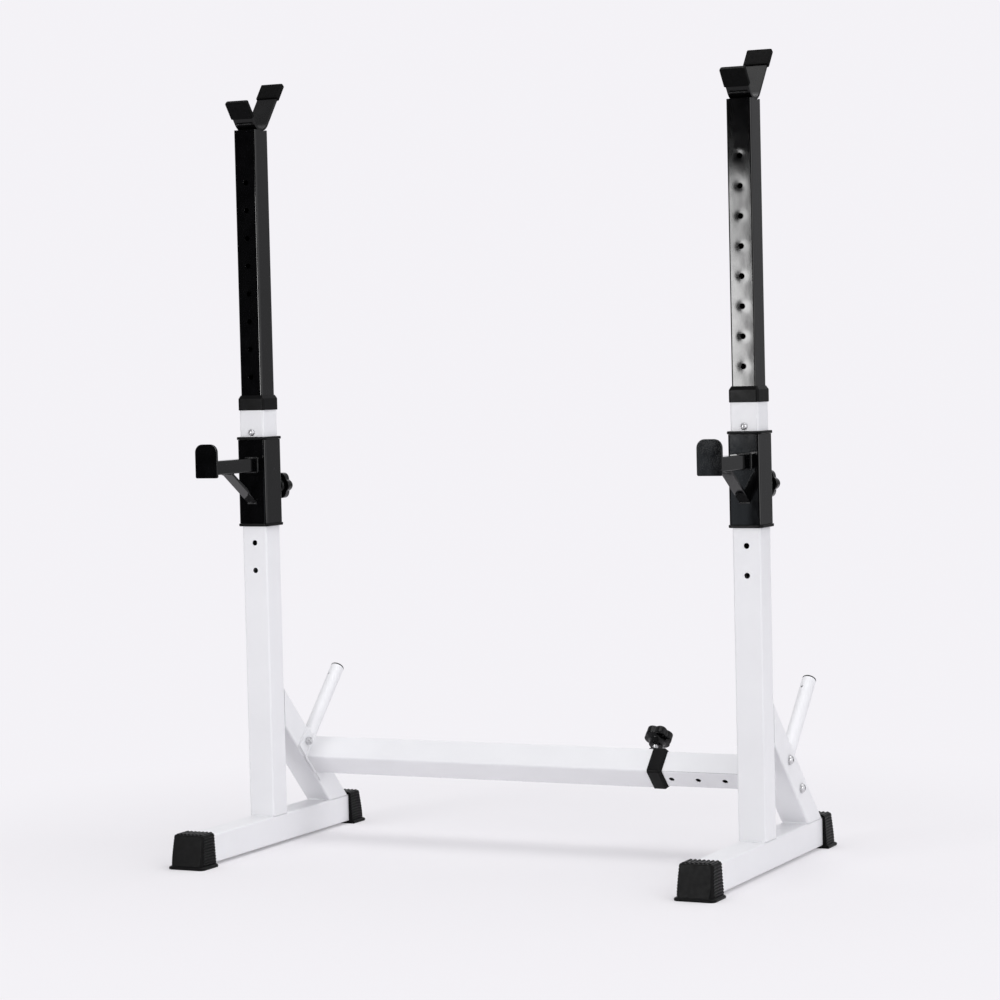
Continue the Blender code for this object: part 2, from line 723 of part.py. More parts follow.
def hook_strut(name, parent):
    """A flat bar from the sleeve's face up to the arm's underside."""
    foot_y = SLEEVE_TUBE / 2
    foot_z = SLIDER_BOTTOM + STRUT_FOOT_HEIGHT
    arm_z = SLIDER_BOTTOM + ARM_HEIGHT
    run = STRUT_HEAD_REACH - foot_y
    rise = arm_z - foot_z
    slope = math.atan2(rise, run)
    length = math.hypot(run, rise)
    half = STRUT_WIDTH / 2
    bar = box(name, (-half, 0, -FRAME_TUBE / 2), (half, STRUT_THICKNESS, length + FRAME_TUBE / 2))
    tilt = QUARTER_TURN - slope
    finish(bar, black, parent, (0, -foot_y, foot_z), (tilt, 0, 0))
    corner = box(
        name + "_mitres",
        (-FRAME_TUBE, -HOOK_REACH, SLIDER_BOTTOM),
        (FRAME_TUBE, -foot_y - GAP, arm_z - GAP),
    )
    join_or_cut(bar, corner, "INTERSECT")
    # The mitre box stands square to the floor, so it hangs from the slider and not from the bar
    corner.parent = parent
    return bar


def star_outline():
    """Smooth lobes by a cosine between the valley radius and the lobe radius."""
    count = KNOB_LOBES * KNOB_POINTS_PER_LOBE
    outline = []
    for i in range(count):
        turn = 2 * math.pi * i / count
        swell = (1 + math.cos(KNOB_LOBES * turn)) / 2
        radius = KNOB_VALLEY_RADIUS + (KNOB_LOBE_RADIUS - KNOB_VALLEY_RADIUS) * math.sqrt(swell)
        outline.append((radius * math.cos(turn), radius * math.sin(turn)))
    return outline


def lock_knob(name, parent, stand):
    """A star knob whose head ends at a distance from the tube's centre, bored for the stud."""
    start = stand - KNOB_HEAD_HEIGHT
    head = extruded(name, [star_outline()], KNOB_HEAD_HEIGHT)
    bevel(head, KNOB_ROUND, 2, math.radians(60))
    hub_length = KNOB_HUB_HEIGHT + JOIN_DEPTH
    hub = rods(
        name + "_hub",
        KNOB_HUB_DIAMETER,
        hub_length,
        [(0, 0, hub_length / 2 - KNOB_HUB_HEIGHT)],
        "Z",
        ROUND_SEGMENTS,
    )
    join_or_cut(head, hub, "UNION")
    bore_length = KNOB_BORE_DEPTH + CUT_PAST
    bore = rods(
        name + "_bore",
        STUD_DIAMETER + 2 * THREAD_PLAY,
        bore_length,
        [(0, 0, bore_length / 2 - KNOB_HUB_HEIGHT - CUT_PAST)],
        "Z",
    )
    join_or_cut(head, bore)
    return finish(head, plastic, parent, (0, 0, start))


def lock_screw(prefix, carrier, face, tip, boss_length, stand, level=(0, 0, 0)):
    """Boss, stud and knob on one axis, which leaves the carrier along its +Y at a level."""
    axis = empty(prefix + "_screw_axis", carrier, level, (-QUARTER_TURN, 0, 0))
    bore = STUD_DIAMETER / 2 + THREAD_PLAY
    outer = BOSS_DIAMETER / 2
    low = face + GAP
    high = low + boss_length
    ring = (
        (outer - BOSS_CHAMFER, high),
        (outer, high - BOSS_CHAMFER),
        (outer, low),
        (bore, low),
        (bore, high),
    )
    finish(turned(prefix + "_boss", ring, BOLT_SEGMENTS, ring=True), black, axis)

    radius = STUD_DIAMETER / 2
    end = stand - KNOB_HEAD_HEIGHT - KNOB_HUB_HEIGHT + KNOB_BORE_DEPTH - GAP
    rod = (
        (0, end),
        (radius - STUD_CHAMFER, end),
        (radius, end - STUD_CHAMFER),
        (radius, tip + STUD_CHAMFER),
        (radius - STUD_CHAMFER, tip),
        (0, tip),
    )
    finish(turned(prefix + "_stud", rod, HOLE_SEGMENTS), steel, axis)
    lock_knob(prefix + "_knob", axis, stand)


def side_frame(side, outward):
    """One side frame's welded tubes with their caps. Returns its empty and its beam mount."""
    place = (outward * FRAME_SPACING / 2, -UPRIGHT_SETBACK, 0)
    frame = empty(side + "_side", None, place)
    base_tube(side + "_base_tube", frame)
    foot(side + "_front_foot", rubber, frame, -1)
    foot(side + "_rear_foot", rubber, frame, 1)
    upright(side + "_upright", frame)
    collar(side + "_collar", plastic, frame, (0, 0, UPRIGHT_TOP))
    brace(side + "_brace", frame)
    pin_axis = empty(side + "_pin_axis", frame, (0, 0, TOP_HOLE), (QUARTER_TURN, 0, 0))
    height_pin(side + "_height_pin", pin_axis)
    mount = empty(side + "_beam_mount", frame, (0, BEAM_REACH, BEAM_HEIGHT), (EIGHTH_TURN, 0, 0))
    weight_peg(side + "_weight_peg", mount)
    peg_cap(side + "_peg_cap", mount)
    end_plate(f"beam_{side}_plate", mount, -outward)
    for place_name, along in (("upper", BOLT_SPREAD / 2), ("lower", -BOLT_SPREAD / 2)):
        beam_bolt(f"{side}_{place_name}_beam_bolt", mount, outward, along)
        beam_nut(f"{side}_{place_name}_beam_nut", mount, outward, along)
    return frame, mount


def post_set(side, frame):
    """The sliding post with its cradle."""
    axis = empty(side + "_post_axis", frame)
    post(side + "_post", axis)
    centre = (CRADLE_SHIFT, POST_TOP - CRADLE_SINK + CRADLE_RADIUS)
    rest_cradle(side + "_rest_cradle", axis, centre)
    prong_cap(side + "_front_prong_cap", axis, centre, -1, FRONT_PRONG)
    prong_cap(side + "_rear_prong_cap", axis, centre, 1, REAR_PRONG)


def slider_set(side, frame):
    """The sliding safety hook with its lock screw."""
    axis = empty(side + "_slider_axis", frame)
    slider_sleeve(side + "_slider_sleeve", axis)
    slider_rim(side + "_slider_top_rim", axis, False)
    slider_rim(side + "_slider_bottom_rim", axis, True)
    hook_arm(side + "_hook_arm", axis)
    hook_plate(side + "_hook_plate", axis)
    hook_strut(side + "_hook_strut", axis)
    lock_screw(
        side + "_slider",
        axis,
        SLEEVE_TUBE / 2,
        FRAME_TUBE / 2 + STUD_REST,
        SLIDER_BOSS_LENGTH,
        SLIDER_KNOB_STAND,
        (0, 0, LOCK_HEIGHT),
    )


def crossbeam(left_mount, right_mount):
    """Outer tube on the left mount, inner tube on the right one. World stations are X places."""
    half_spacing = FRAME_SPACING / 2
    outer = square_tube(
        "beam_outer",
        FRAME_TUBE,
        FRAME_WALL,
        TUBE_CORNER,
        BEAM_MOUTH + half_spacing - BEAM_TUBE_SEAT,
    )
    lock_level = BEAM_LOCK_STATION + half_spacing - BEAM_TUBE_SEAT
    hole = rods("beam_screw_hole", SCREW_HOLE, FRAME_TUBE / 2, [(0, FRAME_TUBE / 2, lock_level)], "Y")
    join_or_cut(outer, hole)
    finish(outer, white, left_mount, (BEAM_TUBE_SEAT, 0, 0), (0, QUARTER_TURN, 0))
    mouth = (BEAM_MOUTH + half_spacing, 0, 0)
    collar("beam_collar", plastic, left_mount, mouth, (0, QUARTER_TURN, 0))

    length = half_spacing - BEAM_TUBE_SEAT - BEAM_INNER_START
    inner = square_tube("beam_inner", POST_TUBE, POST_WALL, POST_CORNER, length)
    steps = range(-BEAM_HOLES_EACH_WAY, BEAM_HOLES_EACH_WAY + 1)
    drill_row(inner, [BEAM_LOCK_STATION + HOLE_PITCH * i - BEAM_INNER_START for i in steps])
    start = BEAM_INNER_START - half_spacing
    finish(inner, white, right_mount, (start, 0, 0), (0, QUARTER_TURN, 0))

    lock_screw(
        "beam",
        left_mount,
        FRAME_TUBE / 2,
        POST_TUBE / 2 + STUD_REST,
        BEAM_BOSS_LENGTH,
        BEAM_KNOB_STAND,
        (BEAM_LOCK_STATION + half_spacing, 0, 0),
    )


clear_scene()
parts = new_collection("squat_rack")
cutters = new_collection("cutters")
white = new_material("white_enamel", (0.78, 0.78, 0.80), 0.35)
black = new_material("black_enamel", (0.012, 0.012, 0.013), 0.25)
rubber = new_material("black_rubber", (0.02, 0.02, 0.021), 0.75)
plastic = new_material("black_plastic", (0.018, 0.018, 0.019), 0.5)
steel = new_material("zinc_steel", (0.62, 0.62, 0.63), 0.3, 1.0)

beam_mounts = []
for side_name, side_sign in SIDES:
    side_empty, beam_mount = side_frame(side_name, side_sign)
    post_set(side_name, side_empty)
    slider_set(side_name, side_empty)
    beam_mounts.append(beam_mount)
crossbeam(*beam_mounts)
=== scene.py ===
"""Looks of the squat rack: fine meshes, finishes, stage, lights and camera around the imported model.

Metres, +Z up. X runs along the crossbeam and -Y is the lifter's side. Each side frame has axes of
its own, with the origin on the floor under its upright, and its pieces are placed in them.
"""

import math

import bmesh
import bpy
from mathutils import Matrix, Vector


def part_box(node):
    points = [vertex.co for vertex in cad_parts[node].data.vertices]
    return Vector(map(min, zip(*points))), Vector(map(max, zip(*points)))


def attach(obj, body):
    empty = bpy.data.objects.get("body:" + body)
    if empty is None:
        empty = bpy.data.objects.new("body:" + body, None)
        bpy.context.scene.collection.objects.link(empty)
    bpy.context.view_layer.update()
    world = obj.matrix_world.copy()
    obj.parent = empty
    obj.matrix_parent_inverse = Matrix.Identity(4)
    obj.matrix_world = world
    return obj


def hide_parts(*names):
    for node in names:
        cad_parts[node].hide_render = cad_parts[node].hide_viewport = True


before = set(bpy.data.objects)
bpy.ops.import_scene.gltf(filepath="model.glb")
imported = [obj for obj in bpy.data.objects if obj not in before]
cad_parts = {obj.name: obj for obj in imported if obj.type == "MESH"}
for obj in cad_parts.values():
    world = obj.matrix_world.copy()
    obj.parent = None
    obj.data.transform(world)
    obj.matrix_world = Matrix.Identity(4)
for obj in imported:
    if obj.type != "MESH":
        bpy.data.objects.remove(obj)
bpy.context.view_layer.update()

# Places read from the frame
UPRIGHT_LOW, UPRIGHT_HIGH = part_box("left_upright")
RIGHT_UPRIGHT_LOW, RIGHT_UPRIGHT_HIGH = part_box("right_upright")
POST_LOW, POST_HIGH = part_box("left_post")
OUTER_LOW, OUTER_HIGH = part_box("beam_outer")
INNER_LOW, INNER_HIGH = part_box("beam_inner")

SPACING = (RIGHT_UPRIGHT_LOW.x + RIGHT_UPRIGHT_HIGH.x - UPRIGHT_LOW.x - UPRIGHT_HIGH.x) / 2
SETBACK = -(UPRIGHT_LOW.y + UPRIGHT_HIGH.y) / 2
FRAME_TUBE = UPRIGHT_HIGH.x - UPRIGHT_LOW.x
POST_TUBE = POST_HIGH.x - POST_LOW.x

# Tubes
GAP = 0.0003
WALL = 0.002
FRAME_CORNER = 0.0035
POST_CORNER = 0.0038
HOLE_PITCH = 0.050
HOLE = 0.010
TOP_HOLE = 0.753
UPRIGHT_HOLES = 6
POST_HOLES_ABOVE = 9
POST_HOLES_BELOW = 4
LOCK_HOLE = 0.0106

# Cutters through a tube and through one wall
THROUGH = 0.07
ONE_WALL = 0.03

# Brace, crossbeam and weight peg
BRACE_REACH = 0.2745
BEAM_REACH = 0.1245
BOLT_SPREAD = 0.080
BOLT_HOLE = 0.009
PEG = 0.025
PEG_LENGTH = 0.181
PEG_PIN_HOLE = 0.005
PEG_PIN_FROM_TOP = 0.023
PEG_PIN_TURN = math.radians(-25)
END_PLATE = 0.004
LOCK_STATION = 0.226
BEAM_HOLES_EACH_WAY = 3

# Finer detail
EDGE = 0.0004
FINE_EDGE = 0.0003
BOLT_EDGE = 0.0002
BAR_EDGE = 0.0008
BAR_EDGE_STEPS = 3
HEXAGON = 6
SMALL_HOLE_SIDES = 32
HOLE_SIDES = 40
ROUND_SIDES = 64
CORNER_STEPS = 8

# Left open at a turned piece's axis, clear before a tip, and cut past a face
AXIS = 0.0001
CLEARANCE = 0.0006
PAST = 0.01

# Nearer points merge and flatter edges go
MERGE = 0.000002
CURVE_MERGE = 0.00001
FLAT = 0.001
LEAST_CORNER = 0.0008

# Weld beads: radius, ripple's length and how it swells and wanders
BEAD = 0.0021
BEAD_RIPPLE = 0.0030
BEAD_SAMPLES = 4
BEAD_SWELL = 0.13
BEAD_WANDER = 0.07
BEAD_WANDER_TURN = 0.37
BEAD_ENDS = (0.55, 0.8, 0.93)
BEAD_RING = 24
BEAD_ROUND_STEPS = 3
BEAD_CORNER_STEPS = 3

QUARTER = math.pi / 2
EIGHTH = math.pi / 4
SIDES = (("left", -1), ("right", 1))
SHARP = math.radians(32)
SHADE_SHARP = math.radians(50)
FACE_WEIGHT = 80


# Mesh helpers

def new_object(name, data):
    obj = bpy.data.objects.new(name, data)
    bpy.context.scene.collection.objects.link(obj)
    return obj


def object_from(name, bm):
    """A new object of a bmesh, which this call frees."""
    bmesh.ops.remove_doubles(bm, verts=bm.verts, dist=MERGE)
    bmesh.ops.recalc_face_normals(bm, faces=bm.faces)
    mesh = bpy.data.meshes.new(name)
    bm.to_mesh(mesh)
    bm.free()
    return new_object(name, mesh)


def evaluated_mesh(obj):
    graph = bpy.context.evaluated_depsgraph_get()
    return bpy.data.meshes.new_from_object(obj.evaluated_get(graph))


def baked(obj):
    """Applies the object's modifiers to its mesh."""
    mesh = evaluated_mesh(obj)
    obj.modifiers.clear()
    obj.data = mesh
    return obj


def cut(obj, cutter, operation="DIFFERENCE"):
    """A Boolean that is applied at once. The cutter is removed."""
    modifier = obj.modifiers.new("cut", "BOOLEAN")
    modifier.operation = operation
    modifier.object = cutter
    baked(obj)
    bpy.data.objects.remove(cutter, do_unlink=True)


def smooth(obj, edge=EDGE, steps=2, angle=SHARP):
    """Rounds the sharp edges and shades flats flat and rounds round."""
    if edge:
        modifier = obj.modifiers.new("edges", "BEVEL")
        modifier.width = edge
        modifier.segments = steps
        modifier.limit_method = "ANGLE"
        modifier.angle_limit = angle
        modifier.use_clamp_overlap = True
        baked(obj)
    obj.data.shade_smooth()
    obj.data.set_sharp_from_angle(angle=SHADE_SHARP)
    weighted = obj.modifiers.new("normals", "WEIGHTED_NORMAL")
    weighted.keep_sharp = True
    weighted.weight = FACE_WEIGHT
    return baked(obj)


def arc(centre_x, centre_y, radius, start, end, steps):
    turns = [start + (end - start) * i / steps for i in range(steps + 1)]
    return [(centre_x + radius * math.cos(t), centre_y + radius * math.sin(t)) for t in turns]


def rounded_rectangle(half_x, half_y, radii, steps=CORNER_STEPS):
    """Anticlockwise outline. radii are those of the corners ++, -+, -- and +-."""
    points = []
    signs = ((1, 1), (-1, 1), (-1, -1), (1, -1))
    for quarter, ((sign_x, sign_y), radius) in enumerate(zip(signs, radii)):
        start = quarter * QUARTER
        centre = (sign_x * (half_x - radius), sign_y * (half_y - radius))
        points += arc(*centre, radius, start, start + QUARTER, steps)
    return points


def rounded_square(size, radius, steps=CORNER_STEPS):
    return rounded_rectangle(size / 2, size / 2, (radius,) * 4, steps)


def circle(diameter, sides, centre=(0, 0)):
    return arc(*centre, diameter / 2, 0, 2 * math.pi, sides)[:-1]


def lifted(outline, height):
    """The outline's points at one height."""
    return [(x, y, height) for x, y in outline]


def mesh_of(name, curve):
    """The mesh of a curve, which is drawn by an object only for this."""
    drawn = new_object(name + "_curve", curve)
    mesh = evaluated_mesh(drawn)
    bpy.data.objects.remove(drawn, do_unlink=True)
    return mesh


def extruded(name, outlines, thickness):
    """A flat curve of the outlines, the later ones holes in the first, from z = 0 up."""
    curve = bpy.data.curves.new(name, "CURVE")
    curve.dimensions = "2D"
    curve.fill_mode = "BOTH"
    curve.extrude = thickness / 2
    for outline in outlines:
        spline = curve.splines.new("POLY")
        spline.points.add(len(outline) - 1)
        for point, (x, y) in zip(spline.points, outline):
            point.co = (x, y, 0, 1)
        spline.use_cyclic_u = True
    mesh = mesh_of(name, curve)
    bm = bmesh.new()
    bm.from_mesh(mesh)
    bpy.data.meshes.remove(mesh)
    bmesh.ops.remove_doubles(bm, verts=bm.verts, dist=CURVE_MERGE)
    bmesh.ops.dissolve_limit(bm, angle_limit=FLAT, verts=bm.verts, edges=bm.edges)
    bmesh.ops.translate(bm, verts=bm.verts, vec=(0, 0, thickness / 2))
    return object_from(name, bm)


def lofted(name, rings, closed_ring=False):
    """Faces between rings of equal length. The first and last are capped, or joined if closed."""
    bm = bmesh.new()
    made = [[bm.verts.new(point) for point in ring] for ring in rings]
    after = made[1:] + (made[:1] if closed_ring else [])
    for ring, following in zip(made, after):
        for i in range(len(ring)):
            j = (i + 1) % len(ring)
            bm.faces.new((ring[i], ring[j], following[j], following[i]))
    if not closed_ring:
        bm.faces.new(made[0])
        bm.faces.new(made[-1])
    return object_from(name, bm)


def turned(name, profile, sides=ROUND_SIDES, closed_ring=False, shape=None):
    """(radius, height) points turned about Z. shape(angle, radius, height) may change a radius."""
    rings = []
    for radius, height in profile:
        ring = []
        for i in range(sides):
            angle = 2 * math.pi * i / sides
            r = shape(angle, radius, height) if shape else radius
            ring.append((r * math.cos(angle), r * math.sin(angle), height))
        rings.append(ring)
    return lofted(name, rings, closed_ring)


def swept_square(name, profile):
    """A closed profile of (half width, height, corner radius) swept round a square."""
    rings = [lifted(rounded_square(2 * half, corner), height) for half, height, corner in profile]
    return lofted(name, rings, closed_ring=True)


def box(name, low, high):
    bm = bmesh.new()
    low, high = Vector(low), Vector(high)
    place = Matrix.Translation((low + high) / 2) @ Matrix.Diagonal((*(high - low), 1))
    bmesh.ops.create_cube(bm, size=1, matrix=place)
    return object_from(name, bm)


def add_rod(bm, diameter, length, place, sides):
    size = {"radius1": diameter / 2, "radius2": diameter / 2, "depth": length}
    bmesh.ops.create_cone(bm, cap_ends=True, segments=sides, matrix=place, **size)


def rods(name, diameter, length, places, facing=Matrix.Identity(4), sides=HOLE_SIDES):
    """Equal cylinders centred on the places, along Z before they face their way, in one object."""
    bm = bmesh.new()
    for place in places:
        add_rod(bm, diameter, length, Matrix.Translation(place) @ facing, sides)
    return object_from(name, bm)


def square_tube(name, size, corner, length):
    outer = rounded_square(size, corner)
    inner = rounded_square(size - 2 * WALL, max(corner - WALL, LEAST_CORNER))
    return extruded(name, [outer, inner], length)


ALONG_X = Matrix.Rotation(QUARTER, 4, "Y")
ALONG_Y = Matrix.Rotation(QUARTER, 4, "X")


# Materials

NOISE_LOW, NOISE_HIGH = 0.3, 0.7
# Near-black painted shade for the inside of a tube
PAINTED_BORE_SHADE = (0.02, 0.02, 0.02, 1)
DIMPLE_WIDTH = 0.0085
DIMPLE_DEPTH = 0.00013
PITCHES_BELOW = 100


class Nodes:
    """Helpers for one node tree."""

    def __init__(self, tree):
        self.tree = tree

    def node(self, kind, inputs=None, **settings):
        """A new node. inputs gives each named or numbered socket a constant or an output."""
        made = self.tree.nodes.new(kind)
        for key, value in settings.items():
            setattr(made, key, value)
        for socket, value in (inputs or {}).items():
            if isinstance(value, bpy.types.NodeSocket):
                self.link(value, made.inputs[socket])
            else:
                made.inputs[socket].default_value = value
        return made

    def link(self, output, socket):
        self.tree.links.new(output, socket)

    def math(self, operation, *values, clamp=False):
        inputs = dict(enumerate(values))
        return self.node("ShaderNodeMath", inputs, operation=operation, use_clamp=clamp).outputs[0]

    def parts(self, vector):
        """The vector's X, Y and Z."""
        return self.node("ShaderNodeSeparateXYZ", {0: vector}).outputs

    def ramp(self, value, start, end, low, high, kind="LINEAR"):
        """Runs from low, where the value is at start, to high, where it is at end."""
        inputs = {"Value": value, "From Min": start, "From Max": end, "To Min": low, "To Max": high}
        return self.node("ShaderNodeMapRange", inputs, interpolation_type=kind).outputs["Result"]

    def mixed(self, factor, first, second):
        """The first shader where the factor is 0, the second where it is 1."""
        return self.node("ShaderNodeMixShader", {0: factor, 1: first, 2: second}).outputs[0]


class Finish(Nodes):
    """A Principled material, whose noises are in the piece's own metres."""

    def __init__(self, name, metallic=0.0):
        self.material = bpy.data.materials.new(name)
        self.material.use_nodes = True
        super().__init__(self.material.node_tree)
        self.shader = self.tree.nodes["Principled BSDF"]
        self.shader.inputs["Metallic"].default_value = metallic
        self.place = self.node("ShaderNodeTexCoord").outputs["Object"]
        self.normal = None

    def noise(self, scale, detail, stretch=(1, 1, 1)):
        mapping = self.node("ShaderNodeMapping", {"Vector": self.place, "Scale": stretch})
        inputs = {"Vector": mapping.outputs["Vector"], "Scale": scale, "Detail": detail}
        return self.node("ShaderNodeTexNoise", inputs).outputs["Fac"]

    def spread(self, noise, low, high):
        """A noise's usual range spread over low to high."""
        return self.ramp(self.noise(*noise), NOISE_LOW, NOISE_HIGH, low, high)

    def bump(self, height, depth):
        """Adds a layer of relief. depth is the height in metres of a value of 1."""
        inputs = {"Height": height, "Distance": depth, "Strength": 1.0}
        if self.normal:
            inputs["Normal"] = self.normal
        self.normal = self.node("ShaderNodeBump", inputs).outputs["Normal"]
        self.link(self.normal, self.shader.inputs["Normal"])


def textured(name, colours, blotch, rough, mottle, relief, gloss=None, metallic=0.0):
    """A finish made of noises, each given by its scale, its detail and perhaps its stretch.

    The noise blotch mixes its two colours, and the noise mottle sets its roughness within a range.
    relief lists its bumps as a noise and a depth in metres. gloss is its specular level.
    """
    finish = Finish(name, metallic)
    if gloss is not None:
        finish.shader.inputs["Specular IOR Level"].default_value = gloss
    inputs = {"Factor": finish.spread(blotch, 0, 1), "A": (*colours[0], 1), "B": (*colours[1], 1)}
    mix = finish.node("ShaderNodeMix", inputs, data_type="RGBA")
    finish.link(mix.outputs["Result"], finish.shader.inputs["Base Color"])
    finish.link(finish.spread(mottle, *rough), finish.shader.inputs["Roughness"])
    for noise, depth in relief:
        finish.bump(finish.noise(*noise), depth)
    return finish


def powder_white(name):
    return textured(
        name, colours=((0.765, 0.765, 0.785), (0.80, 0.80, 0.82)),
        blotch=(9, 4), rough=(0.30, 0.42), mottle=(60, 5),
        relief=[((420, 2), 0.00010), ((35, 2), 0.00012)],
    )


def black_enamel(name, gloss=0.38, rough=(0.055, 0.085), ripple=0.00010):
    """Black enamel, whose tube faces are slightly wavy."""
    return textured(
        name, gloss=gloss, colours=((0.0010, 0.0010, 0.0012), (0.0022, 0.0022, 0.0025)),
        blotch=(40, 5), rough=rough, mottle=(55, 6),
        relief=[((500, 2), 0.000006), ((22, 2, (1, 1, 0.6)), ripple)],
    )


def paint_bore_shade(finish, bore):
    """Paints shade, a near-black colour, where it is nearer to the piece's own Z axis than bore:
    painted shade inside the tube.
    """
    x, y, _ = finish.parts(finish.place)
    across = finish.math("MAXIMUM", finish.math("ABSOLUTE", x), finish.math("ABSOLUTE", y))
    # Inside the bore the colour turns to painted shade
    inside = finish.math("LESS_THAN", across, bore)
    base = finish.shader.inputs["Base Color"]
    inputs = {"Factor": inside, "A": base.links[0].from_socket, "B": PAINTED_BORE_SHADE}
    shade_colour_mix = finish.node("ShaderNodeMix", inputs, data_type="RGBA")
    finish.link(shade_colour_mix.outputs["Result"], base)
    return finish


def dished(finish):
    """Dishes the metal round each hole of the row along the piece's own Z."""
    x, _, z = finish.parts(finish.place)
    along = finish.math("DIVIDE", finish.math("SUBTRACT", z, TOP_HOLE - POST_LOW.z), HOLE_PITCH)
    offset = finish.math("FRACT", finish.math("ADD", along, PITCHES_BELOW + 0.5))
    offset = finish.math("MULTIPLY", finish.math("SUBTRACT", offset, 0.5), HOLE_PITCH)
    square = finish.math("MULTIPLY_ADD", offset, offset, finish.math("MULTIPLY", x, x))
    dish = finish.math("POWER", math.e, finish.math("DIVIDE", square, -DIMPLE_WIDTH ** 2))
    below_top = finish.math("LESS_THAN", along, POST_HOLES_ABOVE + 0.5)
    dish = finish.math("MULTIPLY", finish.math("MULTIPLY", dish, below_top), -1.0)
    finish.bump(dish, DIMPLE_DEPTH)
    return finish


WHITE = powder_white("powder_white").material
# The inner tube's inside is painted near-black: painted shade in its bore, which shows through its
# holes
WHITE_SHADED_BORE = paint_bore_shade(powder_white("powder_white_inner"), POST_TUBE / 2 - WALL / 2).material
BLACK = black_enamel("gloss_black", ripple=0.00018).material
BLACK_POST = dished(black_enamel("gloss_black_post")).material
BLACK_CRADLE = black_enamel("satin_black", gloss=0.22, rough=(0.24, 0.34)).material
PLASTIC = textured(
    "satin_plastic", gloss=0.11, colours=((0.001, 0.001, 0.0011), (0.0025, 0.0025, 0.0027)),
    blotch=(70, 5), rough=(0.28, 0.38), mottle=(90, 4), relief=[((1600, 2), 0.00004)],
).material
KNOB = textured(
    "gloss_plastic", gloss=0.20, colours=((0.0008, 0.0008, 0.0009), (0.0016, 0.0016, 0.0017)),
    blotch=(120, 4), rough=(0.06, 0.12), mottle=(200, 4), relief=[((260, 2), 0.00004)],
).material
RUBBER = textured(
    "foot_rubber", gloss=0.10, colours=((0.001, 0.001, 0.0011), (0.004, 0.004, 0.0042)),
    blotch=(110, 6), rough=(0.30, 0.46), mottle=(150, 4), relief=[((900, 3), 0.00012)],
).material
PAD = textured(
    "pad_rubber", gloss=0.05, colours=((0.001, 0.001, 0.001), (0.003, 0.003, 0.0032)),
    blotch=(160, 6), rough=(0.45, 0.65), mottle=(220, 4), relief=[((1300, 3), 0.00008)],
).material
STEEL = textured(
    "zinc", metallic=1.0, colours=((0.55, 0.55, 0.56), (0.70, 0.70, 0.71)),
    blotch=(300, 5), rough=(0.22, 0.40), mottle=(500, 4, (1, 1, 0.2)),
    relief=[((1500, 2), 0.00003)],
).material


def put(obj, material, place, body, *nodes):
    """Gives a piece its finish and place, and lets it ride on a body and stand for CAD nodes."""
    obj.data.materials.clear()
    obj.data.materials.append(material)
    obj.matrix_world = place
    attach(obj, body)
    if nodes:
        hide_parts(*nodes)


def at(x=0.0, y=0.0, z=0.0):
    return Matrix.Translation((x, y, z))


def turn(angle, axis):
    return Matrix.Rotation(angle, 4, axis)


def bead(name, points, cyclic, material, place, body):
    """A weld bead along points. Its thickness ripples as the weld's steps do."""
    path = [Vector(p) for p in points]
    if cyclic:
        path.append(path[0])
    samples = []
    for a, b in zip(path, path[1:]):
        steps = max(1, round((b - a).length / (BEAD_RIPPLE / BEAD_SAMPLES)))
        samples += [a.lerp(b, i / steps) for i in range(steps)]
    if not cyclic:
        samples.append(path[-1])
    curve = bpy.data.curves.new(name, "CURVE")
    curve.dimensions = "3D"
    curve.bevel_depth = BEAD
    curve.bevel_resolution = BEAD_ROUND_STEPS
    curve.use_fill_caps = True
    spline = curve.splines.new("POLY")
    spline.points.add(len(samples) - 1)
    for i, (point, sample) in enumerate(zip(spline.points, samples)):
        point.co = (*sample, 1)
        swell = BEAD_SWELL * abs(math.cos(math.pi * i / BEAD_SAMPLES))
        point.radius = 1 + swell + BEAD_WANDER * math.sin(i * BEAD_WANDER_TURN)
    if not cyclic:
        for i, share in enumerate(BEAD_ENDS):
            spline.points[i].radius *= share
            spline.points[-1 - i].radius *= share
    spline.use_cyclic_u = cyclic
    obj = new_object(name, mesh_of(name, curve))
    obj.data.shade_smooth()
    put(obj, material, place, body)


def bead_across(name, half, y, z, *finish):
    """A straight weld bead along X."""
    bead(name, [(-half, y, z), (half, y, z)], False, *finish)


# Side frame

def side_place(sign):
    return at(sign * SPACING / 2, -SETBACK, 0)


def tube_holes(tube, levels):
    cut(tube, rods("holes", HOLE, THROUGH, [(0, 0, z) for z in levels], ALONG_Y))


def base_tube(side, sign):
    low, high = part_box(side + "_base_tube")
    tube = smooth(square_tube(f"fine_{side}_base_tube", FRAME_TUBE, FRAME_CORNER, high.y - low.y))
    place = at(sign * SPACING / 2, high.y, (low.z + high.z) / 2) @ turn(QUARTER, "X")
    put(tube, WHITE, place, side + "_frame", side + "_base_tube")


def upright(side, sign):
    length = UPRIGHT_HIGH.z - UPRIGHT_LOW.z
    tube = square_tube(f"fine_{side}_upright", FRAME_TUBE, FRAME_CORNER, length)
    tube_holes(tube, [TOP_HOLE - HOLE_PITCH * i - UPRIGHT_LOW.z for i in range(UPRIGHT_HOLES)])
    place = side_place(sign) @ at(z=UPRIGHT_LOW.z)
    put(smooth(tube), WHITE, place, side + "_frame", side + "_upright")
    half, short = FRAME_TUBE / 2, 0.003
    for end, y in (("front", -half), ("rear", half)):
        name = f"{side}_upright_weld_{end}"
        bead_across(name, half - short, y, 0, WHITE, place, side + "_frame")
    mouth = side_place(sign) @ at(z=UPRIGHT_HIGH.z)
    collar(f"fine_{side}_collar", mouth, side + "_frame", side + "_collar")


